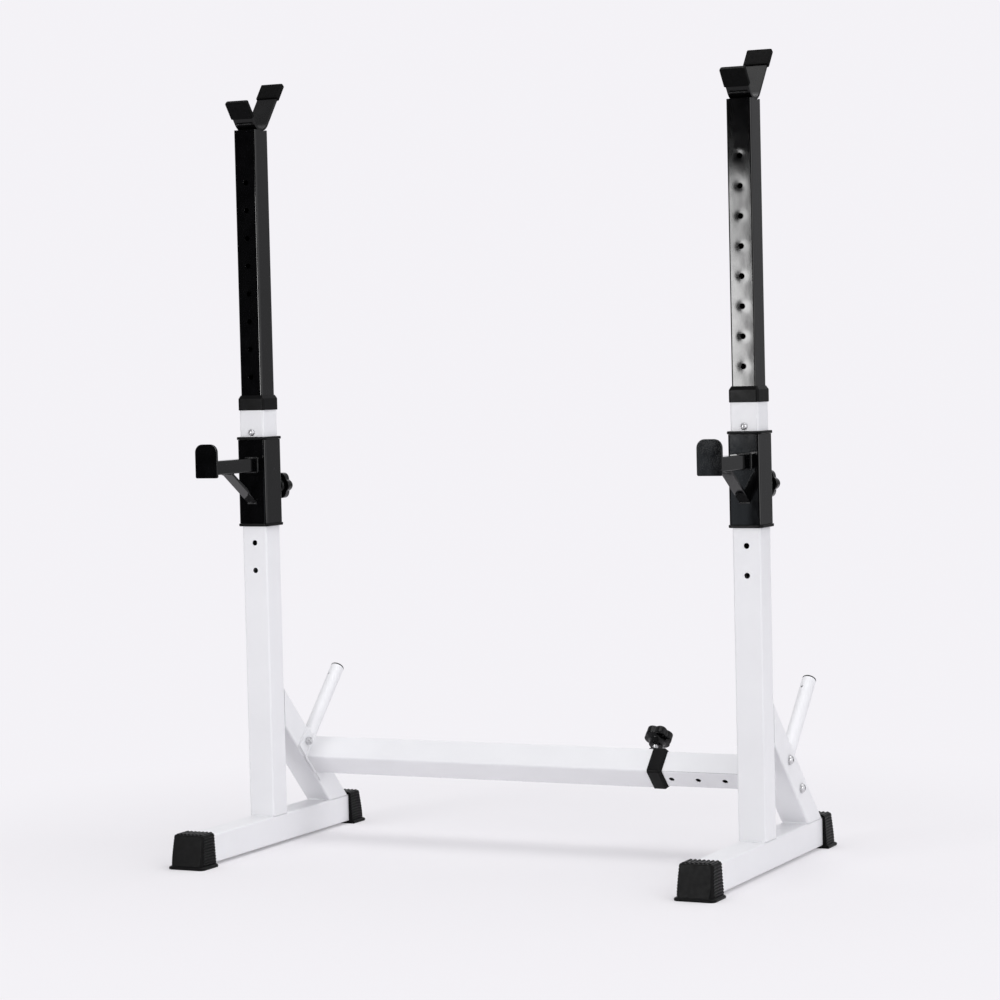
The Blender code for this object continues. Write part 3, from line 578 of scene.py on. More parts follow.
def collar(name, place, body, node):
    """The plastic bush on a frame tube's mouth, which is at its own z = 0."""
    cover, stand, wall, run, rise, edge = 0.015, 0.012, 0.0017, 0.0036, 0.006, 0.0004
    seat = FRAME_TUBE / 2 + GAP
    outer = seat + wall
    mouth = POST_TUBE / 2 + GAP
    seat_corner, outer_corner, mouth_corner = 0.0033, 0.0050, 0.0028
    profile = [
        (seat, -cover, seat_corner), (outer - edge, -cover, outer_corner - edge),
        (outer, -cover + edge, outer_corner), (outer, stand - rise - edge, outer_corner),
        (outer - edge / 2, stand - rise + edge / 2, outer_corner - edge / 2),
        (outer - run + edge / 4, stand - edge, mouth_corner + edge / 2),
        (outer - run - edge / 4, stand, mouth_corner), (mouth + edge / 4, stand, mouth_corner),
        (mouth, stand - edge / 2, mouth_corner), (mouth, GAP, mouth_corner),
        (seat, GAP, seat_corner),
    ]
    put(smooth(swept_square(name, profile), 0), PLASTIC, place, body, node)


# Foot caps

LIP_FLARE = ((0, 0.86), (0.0005, 0.92125), (0.0016, 1.0), (0.0030, 1.0),
             (0.0042, 0.92), (0.0051, 0.6), (0.0058, 0.3), (0.0064, 0.1))
LIP_CORNER = 0.009
FOOT_HALF_LOW, FOOT_HALF_HIGH = 0.0320, 0.0290
FOOT_DEPTH_LOW, FOOT_DEPTH_HIGH = 0.0475, 0.0380
FOOT_CORNER, FOOT_CORNER_SPREAD, FOOT_CORNER_POWER = 0.0032, 0.004, 4
FOOT_BODY_LOW = 0.0065
FOOT_FRONT_POINT = 0.4
FOOT_SHARP = math.radians(55)
SIDE_RIB, SIDE_RIBS, SIDE_RIB_STEPS, SIDE_RIB_FULLNESS = 0.0013, 10, 6, 0.6
SIDE_RIB_FADE, SIDE_RIB_END = 0.002, 0.7
TOP_RIBS, TOP_RIB_RISE, TOP_RIB_SIDES = 7, 0.0014, 20
TOP_ROUND, TOP_ROUND_STEPS = 0.002, 4


def foot_plan(half, rib, depth, corner):
    """The plan of the foot at one height. A rib ends just before the rounded front corner."""
    straight, wide = depth - corner, half + rib
    plan = [(wide, 0), (wide, straight - SIDE_RIB_FADE), (half + rib * SIDE_RIB_END, straight)]
    plan += arc(half - corner, straight, corner, 0, QUARTER, CORNER_STEPS)[1:]
    plan.append((half * FOOT_FRONT_POINT, depth))
    return plan + [(-x, y) for x, y in reversed(plan)]


def foot_levels(depth, lip_half, top):
    """Height, half width, rib, depth and corner of each level of a foot, from the floor up."""
    levels = []
    for z, flare in LIP_FLARE:
        half = FOOT_HALF_LOW + (lip_half - FOOT_HALF_LOW) * flare
        reach = FOOT_DEPTH_LOW + (depth - FOOT_DEPTH_LOW) * flare
        levels.append((z, half, 0.0, reach, LIP_CORNER))
    steps = SIDE_RIB_STEPS * SIDE_RIBS
    for i in range(steps + 1):
        rise = i / steps
        z = FOOT_BODY_LOW + (top - TOP_ROUND - FOOT_BODY_LOW) * rise
        half = FOOT_HALF_LOW + (FOOT_HALF_HIGH - FOOT_HALF_LOW) * rise
        reach = FOOT_DEPTH_LOW + (FOOT_DEPTH_HIGH - FOOT_DEPTH_LOW) * rise
        rib = SIDE_RIB * abs(math.sin(math.pi * SIDE_RIBS * rise)) ** SIDE_RIB_FULLNESS
        corner = FOOT_CORNER + FOOT_CORNER_SPREAD * (1 - rise) ** FOOT_CORNER_POWER
        levels.append((z, half, rib, reach, corner))
    for i in range(1, TOP_ROUND_STEPS + 1):
        swing = QUARTER * i / TOP_ROUND_STEPS
        z = top - TOP_ROUND * (1 - math.sin(swing))
        inset = TOP_ROUND * (1 - math.cos(swing))
        levels.append((z, FOOT_HALF_HIGH - inset, 0.0, FOOT_DEPTH_HIGH - inset, FOOT_CORNER))
    return levels


def foot_top_ribs(top):
    """Round bars along the foot's top, which end at its rounded front edge."""
    width = 2 * (FOOT_HALF_HIGH - TOP_ROUND) / TOP_RIBS
    sink, flatness, thickness, short = 0.0006, 0.75, 0.80, 0.004
    bm = bmesh.new()
    for i in range(TOP_RIBS):
        x = (i - (TOP_RIBS - 1) / 2) * width
        place = at(x, (FOOT_DEPTH_HIGH - short) / 2, top - sink)
        place = place @ Matrix.Diagonal((1, 1, flatness, 1)) @ turn(QUARTER, "X")
        add_rod(bm, width * thickness, FOOT_DEPTH_HIGH - short, place, TOP_RIB_SIDES)
    return object_from("ribs", bm)


def foot(side, sign, end, outward):
    """A ribbed rubber cap. Its own +Y runs from its open edge to its lip."""
    node = f"{side}_{end}_foot"
    low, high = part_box(node)
    depth, lip_half, top = high.y - low.y, (high.x - low.x) / 2, high.z - TOP_RIB_RISE
    levels = foot_levels(depth, lip_half, top)
    body = lofted(f"fine_{node}", [lifted(foot_plan(*plan), z) for z, *plan in levels])
    cut(body, foot_top_ribs(top), "UNION")
    half = FRAME_TUBE / 2 + GAP
    tube_low, tube_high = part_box(side + "_base_tube")
    reach = tube_high.y - low.y if outward > 0 else high.y - tube_low.y
    far_corner = (half, reach + GAP, tube_high.z + GAP)
    cut(body, box("pocket", (-half, -PAST, tube_low.z - GAP), far_corner))
    open_edge = low.y if outward > 0 else high.y
    place = at(sign * SPACING / 2, open_edge, 0) @ turn(0 if outward > 0 else math.pi, "Z")
    smooth(body, FINE_EDGE, 1, FOOT_SHARP)
    put(body, RUBBER, place, side + "_frame", node)


def brace(side, sign):
    """A tube at 45 degrees, cut square to the upright and to the base tube."""
    span = BRACE_REACH * math.sqrt(2)
    station = span / 2 + (BRACE_REACH / 2 - BEAM_REACH) * math.sqrt(2)
    tube = square_tube(f"fine_{side}_brace", FRAME_TUBE, FRAME_CORNER, span)
    holes = [(0, 0, station + end) for end in (-BOLT_SPREAD / 2, BOLT_SPREAD / 2)]
    cut(tube, rods("holes", BOLT_HOLE, THROUGH, holes, ALONG_X))
    tube.data.transform(at(y=BRACE_REACH) @ turn(EIGHTH, "X"))
    half = FRAME_TUBE / 2
    beside, far = 0.05, 0.5
    corner = box("mitres", (-beside, half + GAP, UPRIGHT_LOW.z), (beside, far, far))
    cut(tube, corner, "INTERSECT")
    put(smooth(tube), WHITE, side_place(sign), side + "_frame", side + "_brace")
    slant = half * math.sqrt(2)
    top = BRACE_REACH - half + slant
    foot_y = BRACE_REACH - UPRIGHT_LOW.z
    short, proud, clear = 0.004, 0.0004, 0.0006
    welds = (
        ("top", half + proud, top + proud),
        ("under", half + clear, BRACE_REACH - half - slant),
        ("toe", foot_y - slant, UPRIGHT_LOW.z + clear),
    )
    for end, y, z in welds:
        name = f"{side}_brace_weld_{end}"
        bead_across(name, half - short, y, z, WHITE, side_place(sign), side + "_frame")


def mount_place(sign):
    """The crossbeam's axis at the brace, with +Y square to the brace and +Z along it."""
    return side_place(sign) @ at(y=BEAM_REACH, z=BRACE_REACH - BEAM_REACH) @ turn(EIGHTH, "X")


def peg(side, sign):
    start = FRAME_TUBE / 2 + GAP
    outer, inner, trim = PEG / 2, PEG / 2 - WALL, 0.0006
    end = start + PEG_LENGTH
    profile = [(outer, start), (outer, end - trim), (outer - trim, end)]
    profile += [(inner, end), (inner, start)]
    tube = turned(f"fine_{side}_weight_peg", profile, closed_ring=True)
    pin_side = turn(PEG_PIN_TURN + math.pi, "Z") @ at(0, outer, 0) @ turn(QUARTER, "X")
    pin_place = at(z=end - PEG_PIN_FROM_TOP) @ pin_side
    cut(tube, rods("hole", PEG_PIN_HOLE, 4 * WALL, [(0, 0, 0)], pin_place, SMALL_HOLE_SIDES))
    place = mount_place(sign) @ turn(-QUARTER, "X")
    put(smooth(tube, FINE_EDGE), WHITE, place, side + "_frame", side + "_weight_peg")
    ring = lifted(circle(PEG, BEAD_RING), start)
    bead(f"{side}_peg_weld", ring, True, WHITE, place, side + "_frame")

    # The cap's face is sunk a little inside a rounded rim
    seat, plug, plug_depth = end + GAP, inner - GAP, 0.012
    top, sunk, rim_round, middle = seat + 0.002, 0.0006, 0.0009, 0.0002
    profile = [(middle, top - sunk), (outer - 0.0045, top - sunk), (outer - 0.0038, top)]
    profile += arc(outer - rim_round, top - rim_round, rim_round, QUARTER, 0, steps=5)
    profile += [(outer, seat), (plug, seat), (plug, seat - plug_depth), (middle, seat - plug_depth)]
    cap = turned(f"fine_{side}_peg_cap", profile)
    put(smooth(cap, 0), PLASTIC, place, side + "_frame", side + "_peg_cap")


def pin(side, sign):
    """The height pin, whose dome on the upright's front is along its own +Z."""
    face, head, rise = FRAME_TUBE / 2 + GAP, 0.00625, 0.005
    unit = arc(0, 0, 1, QUARTER, 0, steps=14)
    profile = [(max(head * x, AXIS), face + rise * y) for x, y in unit]
    shank, tip, trim = HOLE / 2 - GAP, POST_TUBE / 2 + CLEARANCE, 0.0004
    profile += [(shank, face), (shank, tip + trim), (shank - trim, tip), (AXIS, tip)]
    dome = turned(f"fine_{side}_height_pin", profile)
    place = side_place(sign) @ at(z=TOP_HOLE) @ turn(QUARTER, "X")
    put(smooth(dome, 0), STEEL, place, side + "_pin", side + "_height_pin")


def bolts(side, sign):
    """Button-head bolts on washers through brace and end plate, heads on the rack's outer side."""
    washer, washer_inner, washer_outer = 0.0014, 0.0044, 0.0092
    head, height, crown_share, shank, trim = 0.0078, 0.0058, 0.72, 0.004, 0.0006
    socket, socket_depth = 0.005, 0.0056
    nut_across, nut_bore, nut_height, nut_edge, nut_trim = 0.013, 0.0086, 0.0075, 0.0009, 0.0008
    face = FRAME_TUBE / 2 + GAP
    nut_face = face + END_PLATE + GAP
    seat, tail = face + washer, -(nut_face + nut_height + 0.002)
    to_corners = 1 / math.cos(math.pi / HEXAGON)
    for level, along in (("upper", BOLT_SPREAD / 2), ("lower", -BOLT_SPREAD / 2)):
        unit = arc(0, 0, 1, QUARTER * crown_share, 0, steps=12)
        crown = [(head * x, seat + height * y) for x, y in unit]
        profile = [(AXIS, crown[0][1]), *crown, (head - 0.0003, seat), (shank, seat)]
        profile += [(shank, tail + trim), (shank - trim, tail), (AXIS, tail)]
        bolt = turned(f"fine_{side}_{level}_bolt", profile)
        top = [(0, 0, seat + height)]
        cut(bolt, rods("socket", socket * to_corners, socket_depth, top, sides=HEXAGON))
        profile = [(washer_inner, face), (washer_outer, face)]
        profile += [(washer_outer, seat), (washer_inner, seat)]
        ring = turned(f"{side}_{level}_washer", profile, closed_ring=True)
        place = mount_place(sign) @ at(z=along) @ turn(sign * QUARTER, "Y")
        put(smooth(ring, FINE_EDGE), STEEL, place, side + "_frame")
        put(smooth(bolt, BOLT_EDGE), STEEL, place, side + "_frame", f"{side}_{level}_beam_bolt")

        outlines = [circle(nut_across * to_corners, HEXAGON), circle(nut_bore, SMALL_HOLE_SIDES)]
        nut = extruded(f"fine_{side}_{level}_nut", outlines, nut_height)
        flat = nut_across / 2
        corner = flat + nut_edge
        profile = [(AXIS, 0), (flat, 0), (corner, nut_trim), (corner, nut_height - nut_trim)]
        profile += [(flat, nut_height), (AXIS, nut_height)]
        cut(nut, turned("chamfer", profile), "INTERSECT")
        place = mount_place(sign) @ at(-sign * nut_face, 0, along) @ turn(-sign * QUARTER, "Y")
        put(smooth(nut, BOLT_EDGE), STEEL, place, side + "_frame", f"{side}_{level}_beam_nut")


def end_plate(side, sign):
    past_bolt, half_width, corner = 0.014, 0.023, 0.004
    outline = rounded_rectangle(BOLT_SPREAD / 2 + past_bolt, half_width, (corner,) * 4)
    holes = [circle(BOLT_HOLE, HOLE_SIDES, (x, 0)) for x in (-BOLT_SPREAD / 2, BOLT_SPREAD / 2)]
    plate = extruded(f"fine_beam_{side}_plate", [outline, *holes], END_PLATE)
    start = FRAME_TUBE / 2 + GAP if sign < 0 else -FRAME_TUBE / 2 - GAP - END_PLATE
    place = mount_place(sign) @ at(start) @ ALONG_X
    put(smooth(plate), WHITE, place, side + "_frame", f"beam_{side}_plate")


# Post with its cradle

CRADLE_RADIUS = 0.031
CRADLE_PLATE = 0.005
CRADLE_WIDTH = 0.0405
CRADLE_SHIFT = 0.0035
CRADLE_SINK = 0.002
CRADLE_STEPS = 32
CRADLE_EDGE = 0.0006
SADDLE_SIDES = 160
PRONG_ANGLE = math.radians(52)
PRONGS = (("front", -1, 0.044), ("rear", 1, 0.093))
PRONG_CAP = 0.035
PRONG_CAP_WIDTH = 0.045
PRONG_CAP_DEPTH = 0.010
PRONG_CAP_WALL = 0.003
PRONG_CAP_ROUND, PRONG_CAP_STEPS = 0.0024, 6
PRONG_CAP_MOUTH = ((0, 0.0010), (0.0004, 0.0004), (0.0011, 0))


def prong_direction(sign):
    along = (sign * math.cos(PRONG_ANGLE), math.sin(PRONG_ANGLE))
    out = (sign * math.sin(PRONG_ANGLE), -math.cos(PRONG_ANGLE))
    return along, out


def cradle_centre():
    return CRADLE_SHIFT, POST_HIGH.z - CRADLE_SINK + CRADLE_RADIUS


def cradle_edge(radius):
    ends = []
    for _, sign, length in PRONGS:
        along, out = prong_direction(sign)
        ends.append((out[0] * radius + along[0] * length, out[1] * radius + along[1] * length))
    swing = QUARTER - PRONG_ANGLE
    return [ends[0], *arc(0, 0, radius, -math.pi + swing, -swing, CRADLE_STEPS), ends[1]]


def post(side, sign):
    body, here = side + "_post", side_place(sign)
    tube = square_tube(f"fine_{side}_post", POST_TUBE, POST_CORNER, POST_HIGH.z - POST_LOW.z)
    steps = range(-POST_HOLES_BELOW, POST_HOLES_ABOVE + 1)
    tube_holes(tube, [TOP_HOLE + HOLE_PITCH * i - POST_LOW.z for i in steps])
    centre_y, centre_z = cradle_centre()
    saddle = 2 * (CRADLE_RADIUS + GAP)
    centre = (0, centre_y, centre_z - POST_LOW.z)
    cut(tube, rods("saddle", saddle, THROUGH, [centre], ALONG_X, SADDLE_SIDES))
    put(smooth(tube), BLACK_POST, here @ at(z=POST_LOW.z), body, side + "_post")

    outline = cradle_edge(CRADLE_RADIUS) + cradle_edge(CRADLE_RADIUS - CRADLE_PLATE)[::-1]
    plate = extruded(f"fine_{side}_rest_cradle", [outline], CRADLE_WIDTH)
    place = here @ at(-CRADLE_WIDTH / 2, centre_y, centre_z)
    place = place @ turn(QUARTER, "Z") @ turn(QUARTER, "X")
    put(smooth(plate, CRADLE_EDGE), BLACK_CRADLE, place, body, side + "_rest_cradle")

    for end, direction, prong in PRONGS:
        prong_cap(side, sign, end, direction, prong)

    half, short, sunk = POST_TUBE / 2, 0.006, 0.0006
    for end, y in (("front", -half + sunk), ("rear", half - sunk)):
        drop = math.sqrt((CRADLE_RADIUS + sunk) ** 2 - (y - centre_y) ** 2)
        name = f"{side}_cradle_weld_{end}"
        bead_across(name, half - short, y, centre_z - drop, BLACK_CRADLE, here, body)


def prong_cap(side, sign, end, direction, prong):
    """A rubber sleeve over a prong's end. Its own +Z runs along the prong to its tip."""
    along, out = prong_direction(direction)
    middle = CRADLE_RADIUS - CRADLE_PLATE / 2
    low = prong + PRONG_CAP_WALL - PRONG_CAP
    levels = list(PRONG_CAP_MOUTH) + [(PRONG_CAP * share, 0) for share in (0.2, 0.4, 0.6, 0.8)]
    for i in range(PRONG_CAP_STEPS + 1):
        swing = QUARTER * i / PRONG_CAP_STEPS
        rise = PRONG_CAP - PRONG_CAP_ROUND * (1 - math.sin(swing))
        levels.append((rise, PRONG_CAP_ROUND * (1 - math.cos(swing))))
    rings = []
    for z, inset in levels:
        half_x, half_y = PRONG_CAP_WIDTH / 2 - inset, PRONG_CAP_DEPTH / 2 - inset
        outline = rounded_rectangle(half_x, half_y, (PRONG_CAP_ROUND,) * 4, PRONG_CAP_STEPS)
        rings.append(lifted(outline, z))
    cap = lofted(f"fine_{side}_{end}_prong_cap", rings)
    half_x, half_y = CRADLE_WIDTH / 2 + GAP, CRADLE_PLATE / 2 + GAP
    depth = PRONG_CAP - PRONG_CAP_WALL + GAP
    cut(cap, box("pocket", (-half_x, -half_y, -PAST), (half_x, half_y, depth)))
    centre_y, centre_z = cradle_centre()
    cap.data.transform(turn(-direction * (QUARTER - PRONG_ANGLE), "X"))
    y = centre_y + out[0] * middle + along[0] * low
    z = centre_z + out[1] * middle + along[1] * low
    place = side_place(sign) @ at(y=y, z=z)
    put(smooth(cap, 0), PAD, place, side + "_post", f"{side}_{end}_prong_cap")


# Slider with its hook

SLIDER_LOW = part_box("left_slider_bottom_rim")[0].z
SLIDER_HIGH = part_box("left_slider_top_rim")[1].z
SLEEVE_LOW, SLEEVE_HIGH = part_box("left_slider_sleeve")
SLEEVE_TUBE = SLEEVE_HIGH.x - SLEEVE_LOW.x
RIM = 0.005
RIM_WIDTH = 0.062
ARM_LOW, ARM_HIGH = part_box("left_hook_arm")
ARM = ARM_HIGH.z - ARM_LOW.z
PLATE_LOW, PLATE_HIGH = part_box("left_hook_plate")
SLEEVE_CORNER = 0.005
RIM_CORNER = SLEEVE_CORNER + (RIM_WIDTH - SLEEVE_TUBE) / 2
ARM_CORNER = 0.002
STRUT_FOOT = 0.0425
STRUT_REACH = 0.1175
STRUT_WIDTH = 0.020
STRUT_THICKNESS = 0.005
HOOK_CORNERS = (0.0145, 0.0145, 0.003, 0.003)
LOCK_HEIGHT = TOP_HOLE - 2 * HOLE_PITCH


def slider_rim(side, sign, level, turned_over):
    """A rim plate with the liner that reaches down between sleeve and upright."""
    bore, edge = FRAME_TUBE / 2 + GAP, RIM_WIDTH / 2
    liner, reach, trim, rim_round = bore + 0.0014, -0.020, 0.0006, 0.0014
    outline = [(bore, RIM), (bore, reach), (liner, reach), (liner, 0)]
    outline += [(edge - trim, 0), (edge, trim)]
    outline += arc(edge - rim_round, RIM - rim_round, rim_round, 0, QUARTER, steps=5)
    profile = [(x, z, RIM_CORNER - (edge - x)) for x, z in outline]
    rim = smooth(swept_square(f"fine_{side}_slider_{level}_rim", profile), 0)
    if turned_over:
        place = side_place(sign) @ at(z=SLIDER_LOW + RIM) @ turn(math.pi, "X")
    else:
        place = side_place(sign) @ at(z=SLIDER_HIGH - RIM)
    put(rim, PLASTIC, place, side + "_slider", f"{side}_slider_{level}_rim")


def slider(side, sign):
    body = side + "_slider"
    here = side_place(sign)
    length = SLEEVE_HIGH.z - SLEEVE_LOW.z
    sleeve = square_tube(f"fine_{side}_slider_sleeve", SLEEVE_TUBE, SLEEVE_CORNER, length)
    hole = (0, SLEEVE_TUBE / 2, LOCK_HEIGHT - SLEEVE_LOW.z)
    cut(sleeve, rods("hole", LOCK_HOLE, ONE_WALL, [hole], ALONG_Y))
    put(smooth(sleeve), BLACK, here @ at(z=SLEEVE_LOW.z), body, side + "_slider_sleeve")
    slider_rim(side, sign, "top", False)
    slider_rim(side, sign, "bottom", True)

    arm_middle = (ARM_LOW.z + ARM_HIGH.z) / 2
    arm = square_tube(f"fine_{side}_hook_arm", ARM, ARM_CORNER, ARM_HIGH.y - ARM_LOW.y)
    place = here @ at(0, ARM_LOW.y + SETBACK, arm_middle) @ turn(-QUARTER, "X")
    put(smooth(arm), BLACK, place, body, side + "_hook_arm")

    width, height = PLATE_HIGH.x - PLATE_LOW.x, PLATE_HIGH.z - PLATE_LOW.z
    outline = rounded_rectangle(width / 2, height / 2, HOOK_CORNERS, steps=12)
    plate = extruded(f"fine_{side}_hook_plate", [outline], PLATE_HIGH.y - PLATE_LOW.y)
    rear, middle = PLATE_HIGH.y + SETBACK, (PLATE_LOW.z + PLATE_HIGH.z) / 2
    place = here @ at(0, rear, middle) @ turn(QUARTER, "X")
    put(smooth(plate, BAR_EDGE, BAR_EDGE_STEPS), BLACK, place, body, side + "_hook_plate")

    foot_y, foot_z = SLEEVE_TUBE / 2, SLIDER_LOW + STRUT_FOOT
    run, rise = STRUT_REACH - foot_y, ARM_LOW.z - foot_z
    slope = math.atan2(rise, run)
    half, past, beside, before = STRUT_WIDTH / 2, 0.025, 0.05, -0.186
    far_corner = (half, STRUT_THICKNESS, math.hypot(run, rise) + past)
    bar = box(f"fine_{side}_hook_strut", (-half, 0, -past), far_corner)
    smooth(bar, BAR_EDGE, BAR_EDGE_STEPS)
    bar.data.transform(at(0, -foot_y, foot_z) @ turn(QUARTER - slope, "X"))
    kept = box("mitres", (-beside, before, SLIDER_LOW), (beside, -foot_y - GAP, ARM_LOW.z - GAP))
    cut(bar, kept, "INTERSECT")
    put(smooth(bar, 0), BLACK, here, body, side + "_hook_strut")

    ring = rounded_square(ARM, ARM_CORNER, BEAD_CORNER_STEPS)
    for end, y in (("sleeve", -foot_y), ("plate", rear)):
        points = [(x, y, arm_middle + z) for x, z in ring]
        bead(f"{side}_arm_weld_{end}", points, True, BLACK, here, body)
    welds = (
        ("low", -foot_y - GAP, foot_z),
        ("high", -foot_y - GAP, foot_z + STRUT_THICKNESS / math.cos(slope)),
        ("front", -STRUT_REACH, ARM_LOW.z - GAP),
        ("rear", -STRUT_REACH + STRUT_THICKNESS / math.sin(slope), ARM_LOW.z - GAP),
    )
    for end, y, z in welds:
        bead_across(f"{side}_strut_weld_{end}", half, y, z, BLACK, here, body)
    screw = here @ at(z=LOCK_HEIGHT) @ turn(-QUARTER, "X")
    sizes = (SLEEVE_TUBE / 2, SLIDER_BOSS, SLIDER_STAND)
    lock_screw(body, screw, *sizes, body, side + "_stud", side + "_knob")


# Lock screws

STUD = 0.0094
KNOB_HEAD = 0.018
KNOB_HUB = 0.012
KNOB_HUB_WIDTH = 0.026
KNOB_BORE = 0.020
LOBES = 6
LOBE_RADIUS = 0.0255
VALLEY_RADIUS = 0.0210
LOBE_FULLNESS = 0.55
LOBES_FROM, LOBES_RISE = -0.0015, 0.006
THREAD_PITCH = 0.0015
THREAD_STEPS = 6
THREAD_FLANK = 0.0011
THREAD_END = 0.0008
STUD_SIDES, KNOB_SIDES = 36, 168

# Boss lengths, and knob tops above the tube's axis
SLIDER_BOSS, SLIDER_STAND = 0.010, 0.078
BEAM_BOSS, BEAM_STAND = 0.014, 0.079


def thread(angle, radius, height):
    """A ridge that climbs one pitch in a turn, but not on the narrower ends."""
    if radius < STUD / 2 - THREAD_END:
        return radius
    phase = (height / THREAD_PITCH - angle / (2 * math.pi)) % 1
    return radius - THREAD_FLANK * abs(phase - 0.5)


def star(angle, radius, height):
    """Lobes that are deepest at the head's top and fade out on the hub."""
    depth = min(1.0, max(0.0, (height - LOBES_FROM) / LOBES_RISE))
    swell = (1 + math.cos(LOBES * angle)) / 2
    valley = (LOBE_RADIUS - VALLEY_RADIUS) * (1 - swell ** LOBE_FULLNESS)
    return radius - depth * valley * radius / LOBE_RADIUS


def knob_profile():
    """(radius, height) points from the hub's end to the middle of the head's slightly sunk top."""
    hub, trim, low_round, high_round = KNOB_HUB_WIDTH / 2, 0.001, 0.0032, 0.0042
    profile = [(AXIS, -KNOB_HUB), (hub - trim, -KNOB_HUB), (hub, -KNOB_HUB + trim)]
    profile += [(hub + 0.0004, -0.004), (hub + 0.0015, -0.0015), (0.0180, 0.0)]
    profile.append((LOBE_RADIUS - 0.0030, 0.0006))
    start, end = -QUARTER * 0.7, QUARTER * 0.92
    profile += arc(LOBE_RADIUS - low_round, 0.0038, low_round, start, 0, steps=5)
    profile += arc(LOBE_RADIUS - high_round, KNOB_HEAD - 0.0047, high_round, 0, end, steps=9)
    profile += [(0.0150, KNOB_HEAD - 0.0002), (0.0095, KNOB_HEAD)]
    return profile + [(0.0085, KNOB_HEAD - 0.0008), (AXIS, KNOB_HEAD - 0.0010)]


def lock_screw(prefix, place, face, boss_length, stand, carrier, stud_body, knob_body):
    """Boss, stud and knob on one axis, which leaves the carrier along the place's own +Z."""
    bore, outer, trim, low = STUD / 2 + GAP, 0.010, 0.0015, face + GAP
    high = low + boss_length
    profile = [(outer - trim, high), (outer, high - trim), (outer, low), (bore, low), (bore, high)]
    boss = turned(f"fine_{prefix}_boss", profile, closed_ring=True)
    put(smooth(boss, FINE_EDGE), BLACK, place, carrier, prefix + "_boss")
    ring = lifted(circle(2 * outer, BEAD_RING), low)
    tube, weld_finish = (POST_TUBE, WHITE) if prefix == "beam" else (FRAME_TUBE, BLACK)
    bead(f"{prefix}_boss_weld", ring, True, weld_finish, place, carrier)

    tip, trim = tube / 2 + CLEARANCE, 0.001
    end = stand - KNOB_HEAD - KNOB_HUB + KNOB_BORE - GAP
    run = end - tip - 2 * trim
    steps = round((end - tip) / (THREAD_PITCH / THREAD_STEPS))
    profile = [(AXIS, tip), (STUD / 2 - trim, tip)]
    profile += [(STUD / 2, tip + trim + run * i / steps) for i in range(steps + 1)]
    profile += [(STUD / 2 - trim, end), (AXIS, end)]
    stud = turned(f"fine_{prefix}_stud", profile, STUD_SIDES, shape=thread)
    put(smooth(stud, 0), STEEL, place, stud_body, prefix + "_stud")

    knob = turned(f"fine_{prefix}_knob", knob_profile(), KNOB_SIDES, shape=star)
    middle = (KNOB_BORE + PAST) / 2 - KNOB_HUB - PAST
    cut(knob, rods("bore", STUD + 2 * GAP, KNOB_BORE + PAST, [(0, 0, middle)]))
    put(smooth(knob, 0), KNOB, place @ at(z=stand - KNOB_HEAD), knob_body, prefix + "_knob")


# Crossbeam

def crossbeam():
    left, right = mount_place(-1), mount_place(1)
    outer = square_tube("fine_beam_outer", FRAME_TUBE, FRAME_CORNER, OUTER_HIGH.x - OUTER_LOW.x)
    hole = (0, FRAME_TUBE / 2, LOCK_STATION - OUTER_LOW.x)
    cut(outer, rods("hole", LOCK_HOLE, ONE_WALL, [hole], ALONG_Y))
    root = left @ at(OUTER_LOW.x + SPACING / 2)
    put(smooth(outer), WHITE, root @ ALONG_X, "left_frame", "beam_outer")
    outline = rounded_square(FRAME_TUBE, FRAME_CORNER, BEAD_CORNER_STEPS)
    ring = [(0, y, z) for y, z in outline]
    bead("beam_outer_weld", ring, True, WHITE, root, "left_frame")
    mouth = left @ at(OUTER_HIGH.x + SPACING / 2) @ ALONG_X
    collar("fine_beam_collar", mouth, "left_frame", "beam_collar")

    inner = square_tube("fine_beam_inner", POST_TUBE, POST_CORNER, INNER_HIGH.x - INNER_LOW.x)
    steps = range(-BEAM_HOLES_EACH_WAY, BEAM_HOLES_EACH_WAY + 1)
    tube_holes(inner, [LOCK_STATION + HOLE_PITCH * i - INNER_LOW.x for i in steps])
    place = right @ at(INNER_LOW.x - SPACING / 2) @ ALONG_X
    put(smooth(inner), WHITE_SHADED_BORE, place, "right_frame", "beam_inner")
    outline = rounded_square(POST_TUBE, POST_CORNER, BEAD_CORNER_STEPS)
    ring = [(0, y, z) for y, z in outline]
    root = right @ at(INNER_HIGH.x - SPACING / 2)
    bead("beam_inner_weld", ring, True, WHITE, root, "right_frame")

    screw = left @ at(LOCK_STATION + SPACING / 2) @ turn(-QUARTER, "X")
    sizes = (FRAME_TUBE / 2, BEAM_BOSS, BEAM_STAND)
    lock_screw("beam", screw, *sizes, "left_frame", "beam_stud", "beam_knob")


for each in SIDES:
    base_tube(*each)
    foot(*each, "front", -1)
    foot(*each, "rear", 1)
    for build in (upright, brace, peg, pin, bolts, end_plate, post, slider):
        build(*each)
crossbeam()


# Stage, lights and camera

BACKGROUND = (0.905, 0.890, 0.925)
FLOOR_COLOUR = (0.83, 0.815, 0.835)
FLOOR_RADIUS = 5.0
FLOOR_SIDES = 128
FLOOR_FADE = (0.3, 1.5)
FLOOR_GLOW = 0.20

# The room's strengths, and the ranges of a direction's parts over which they set in
ROOM_COLOUR = (0.97, 0.97, 1.0)
ROOM_DARK = 0.02
ROOM_BACK, ROOM_BACK_ACROSS, ROOM_BACK_UP = 0.16, 0.43, 0.6
ROOM_TOP = 0.48
ROOM_RIGHT = 0.65
FRONT_FROM_Y = (0.10, -0.25)
TOP_FROM_Z = (0.12, 0.45)
RIGHT_FROM_X = (0.55, 0.85)
BACKDROP_FROM_Y = (0.3, 0.6)
BACKDROP_FROM_X = (0.10, -0.15)

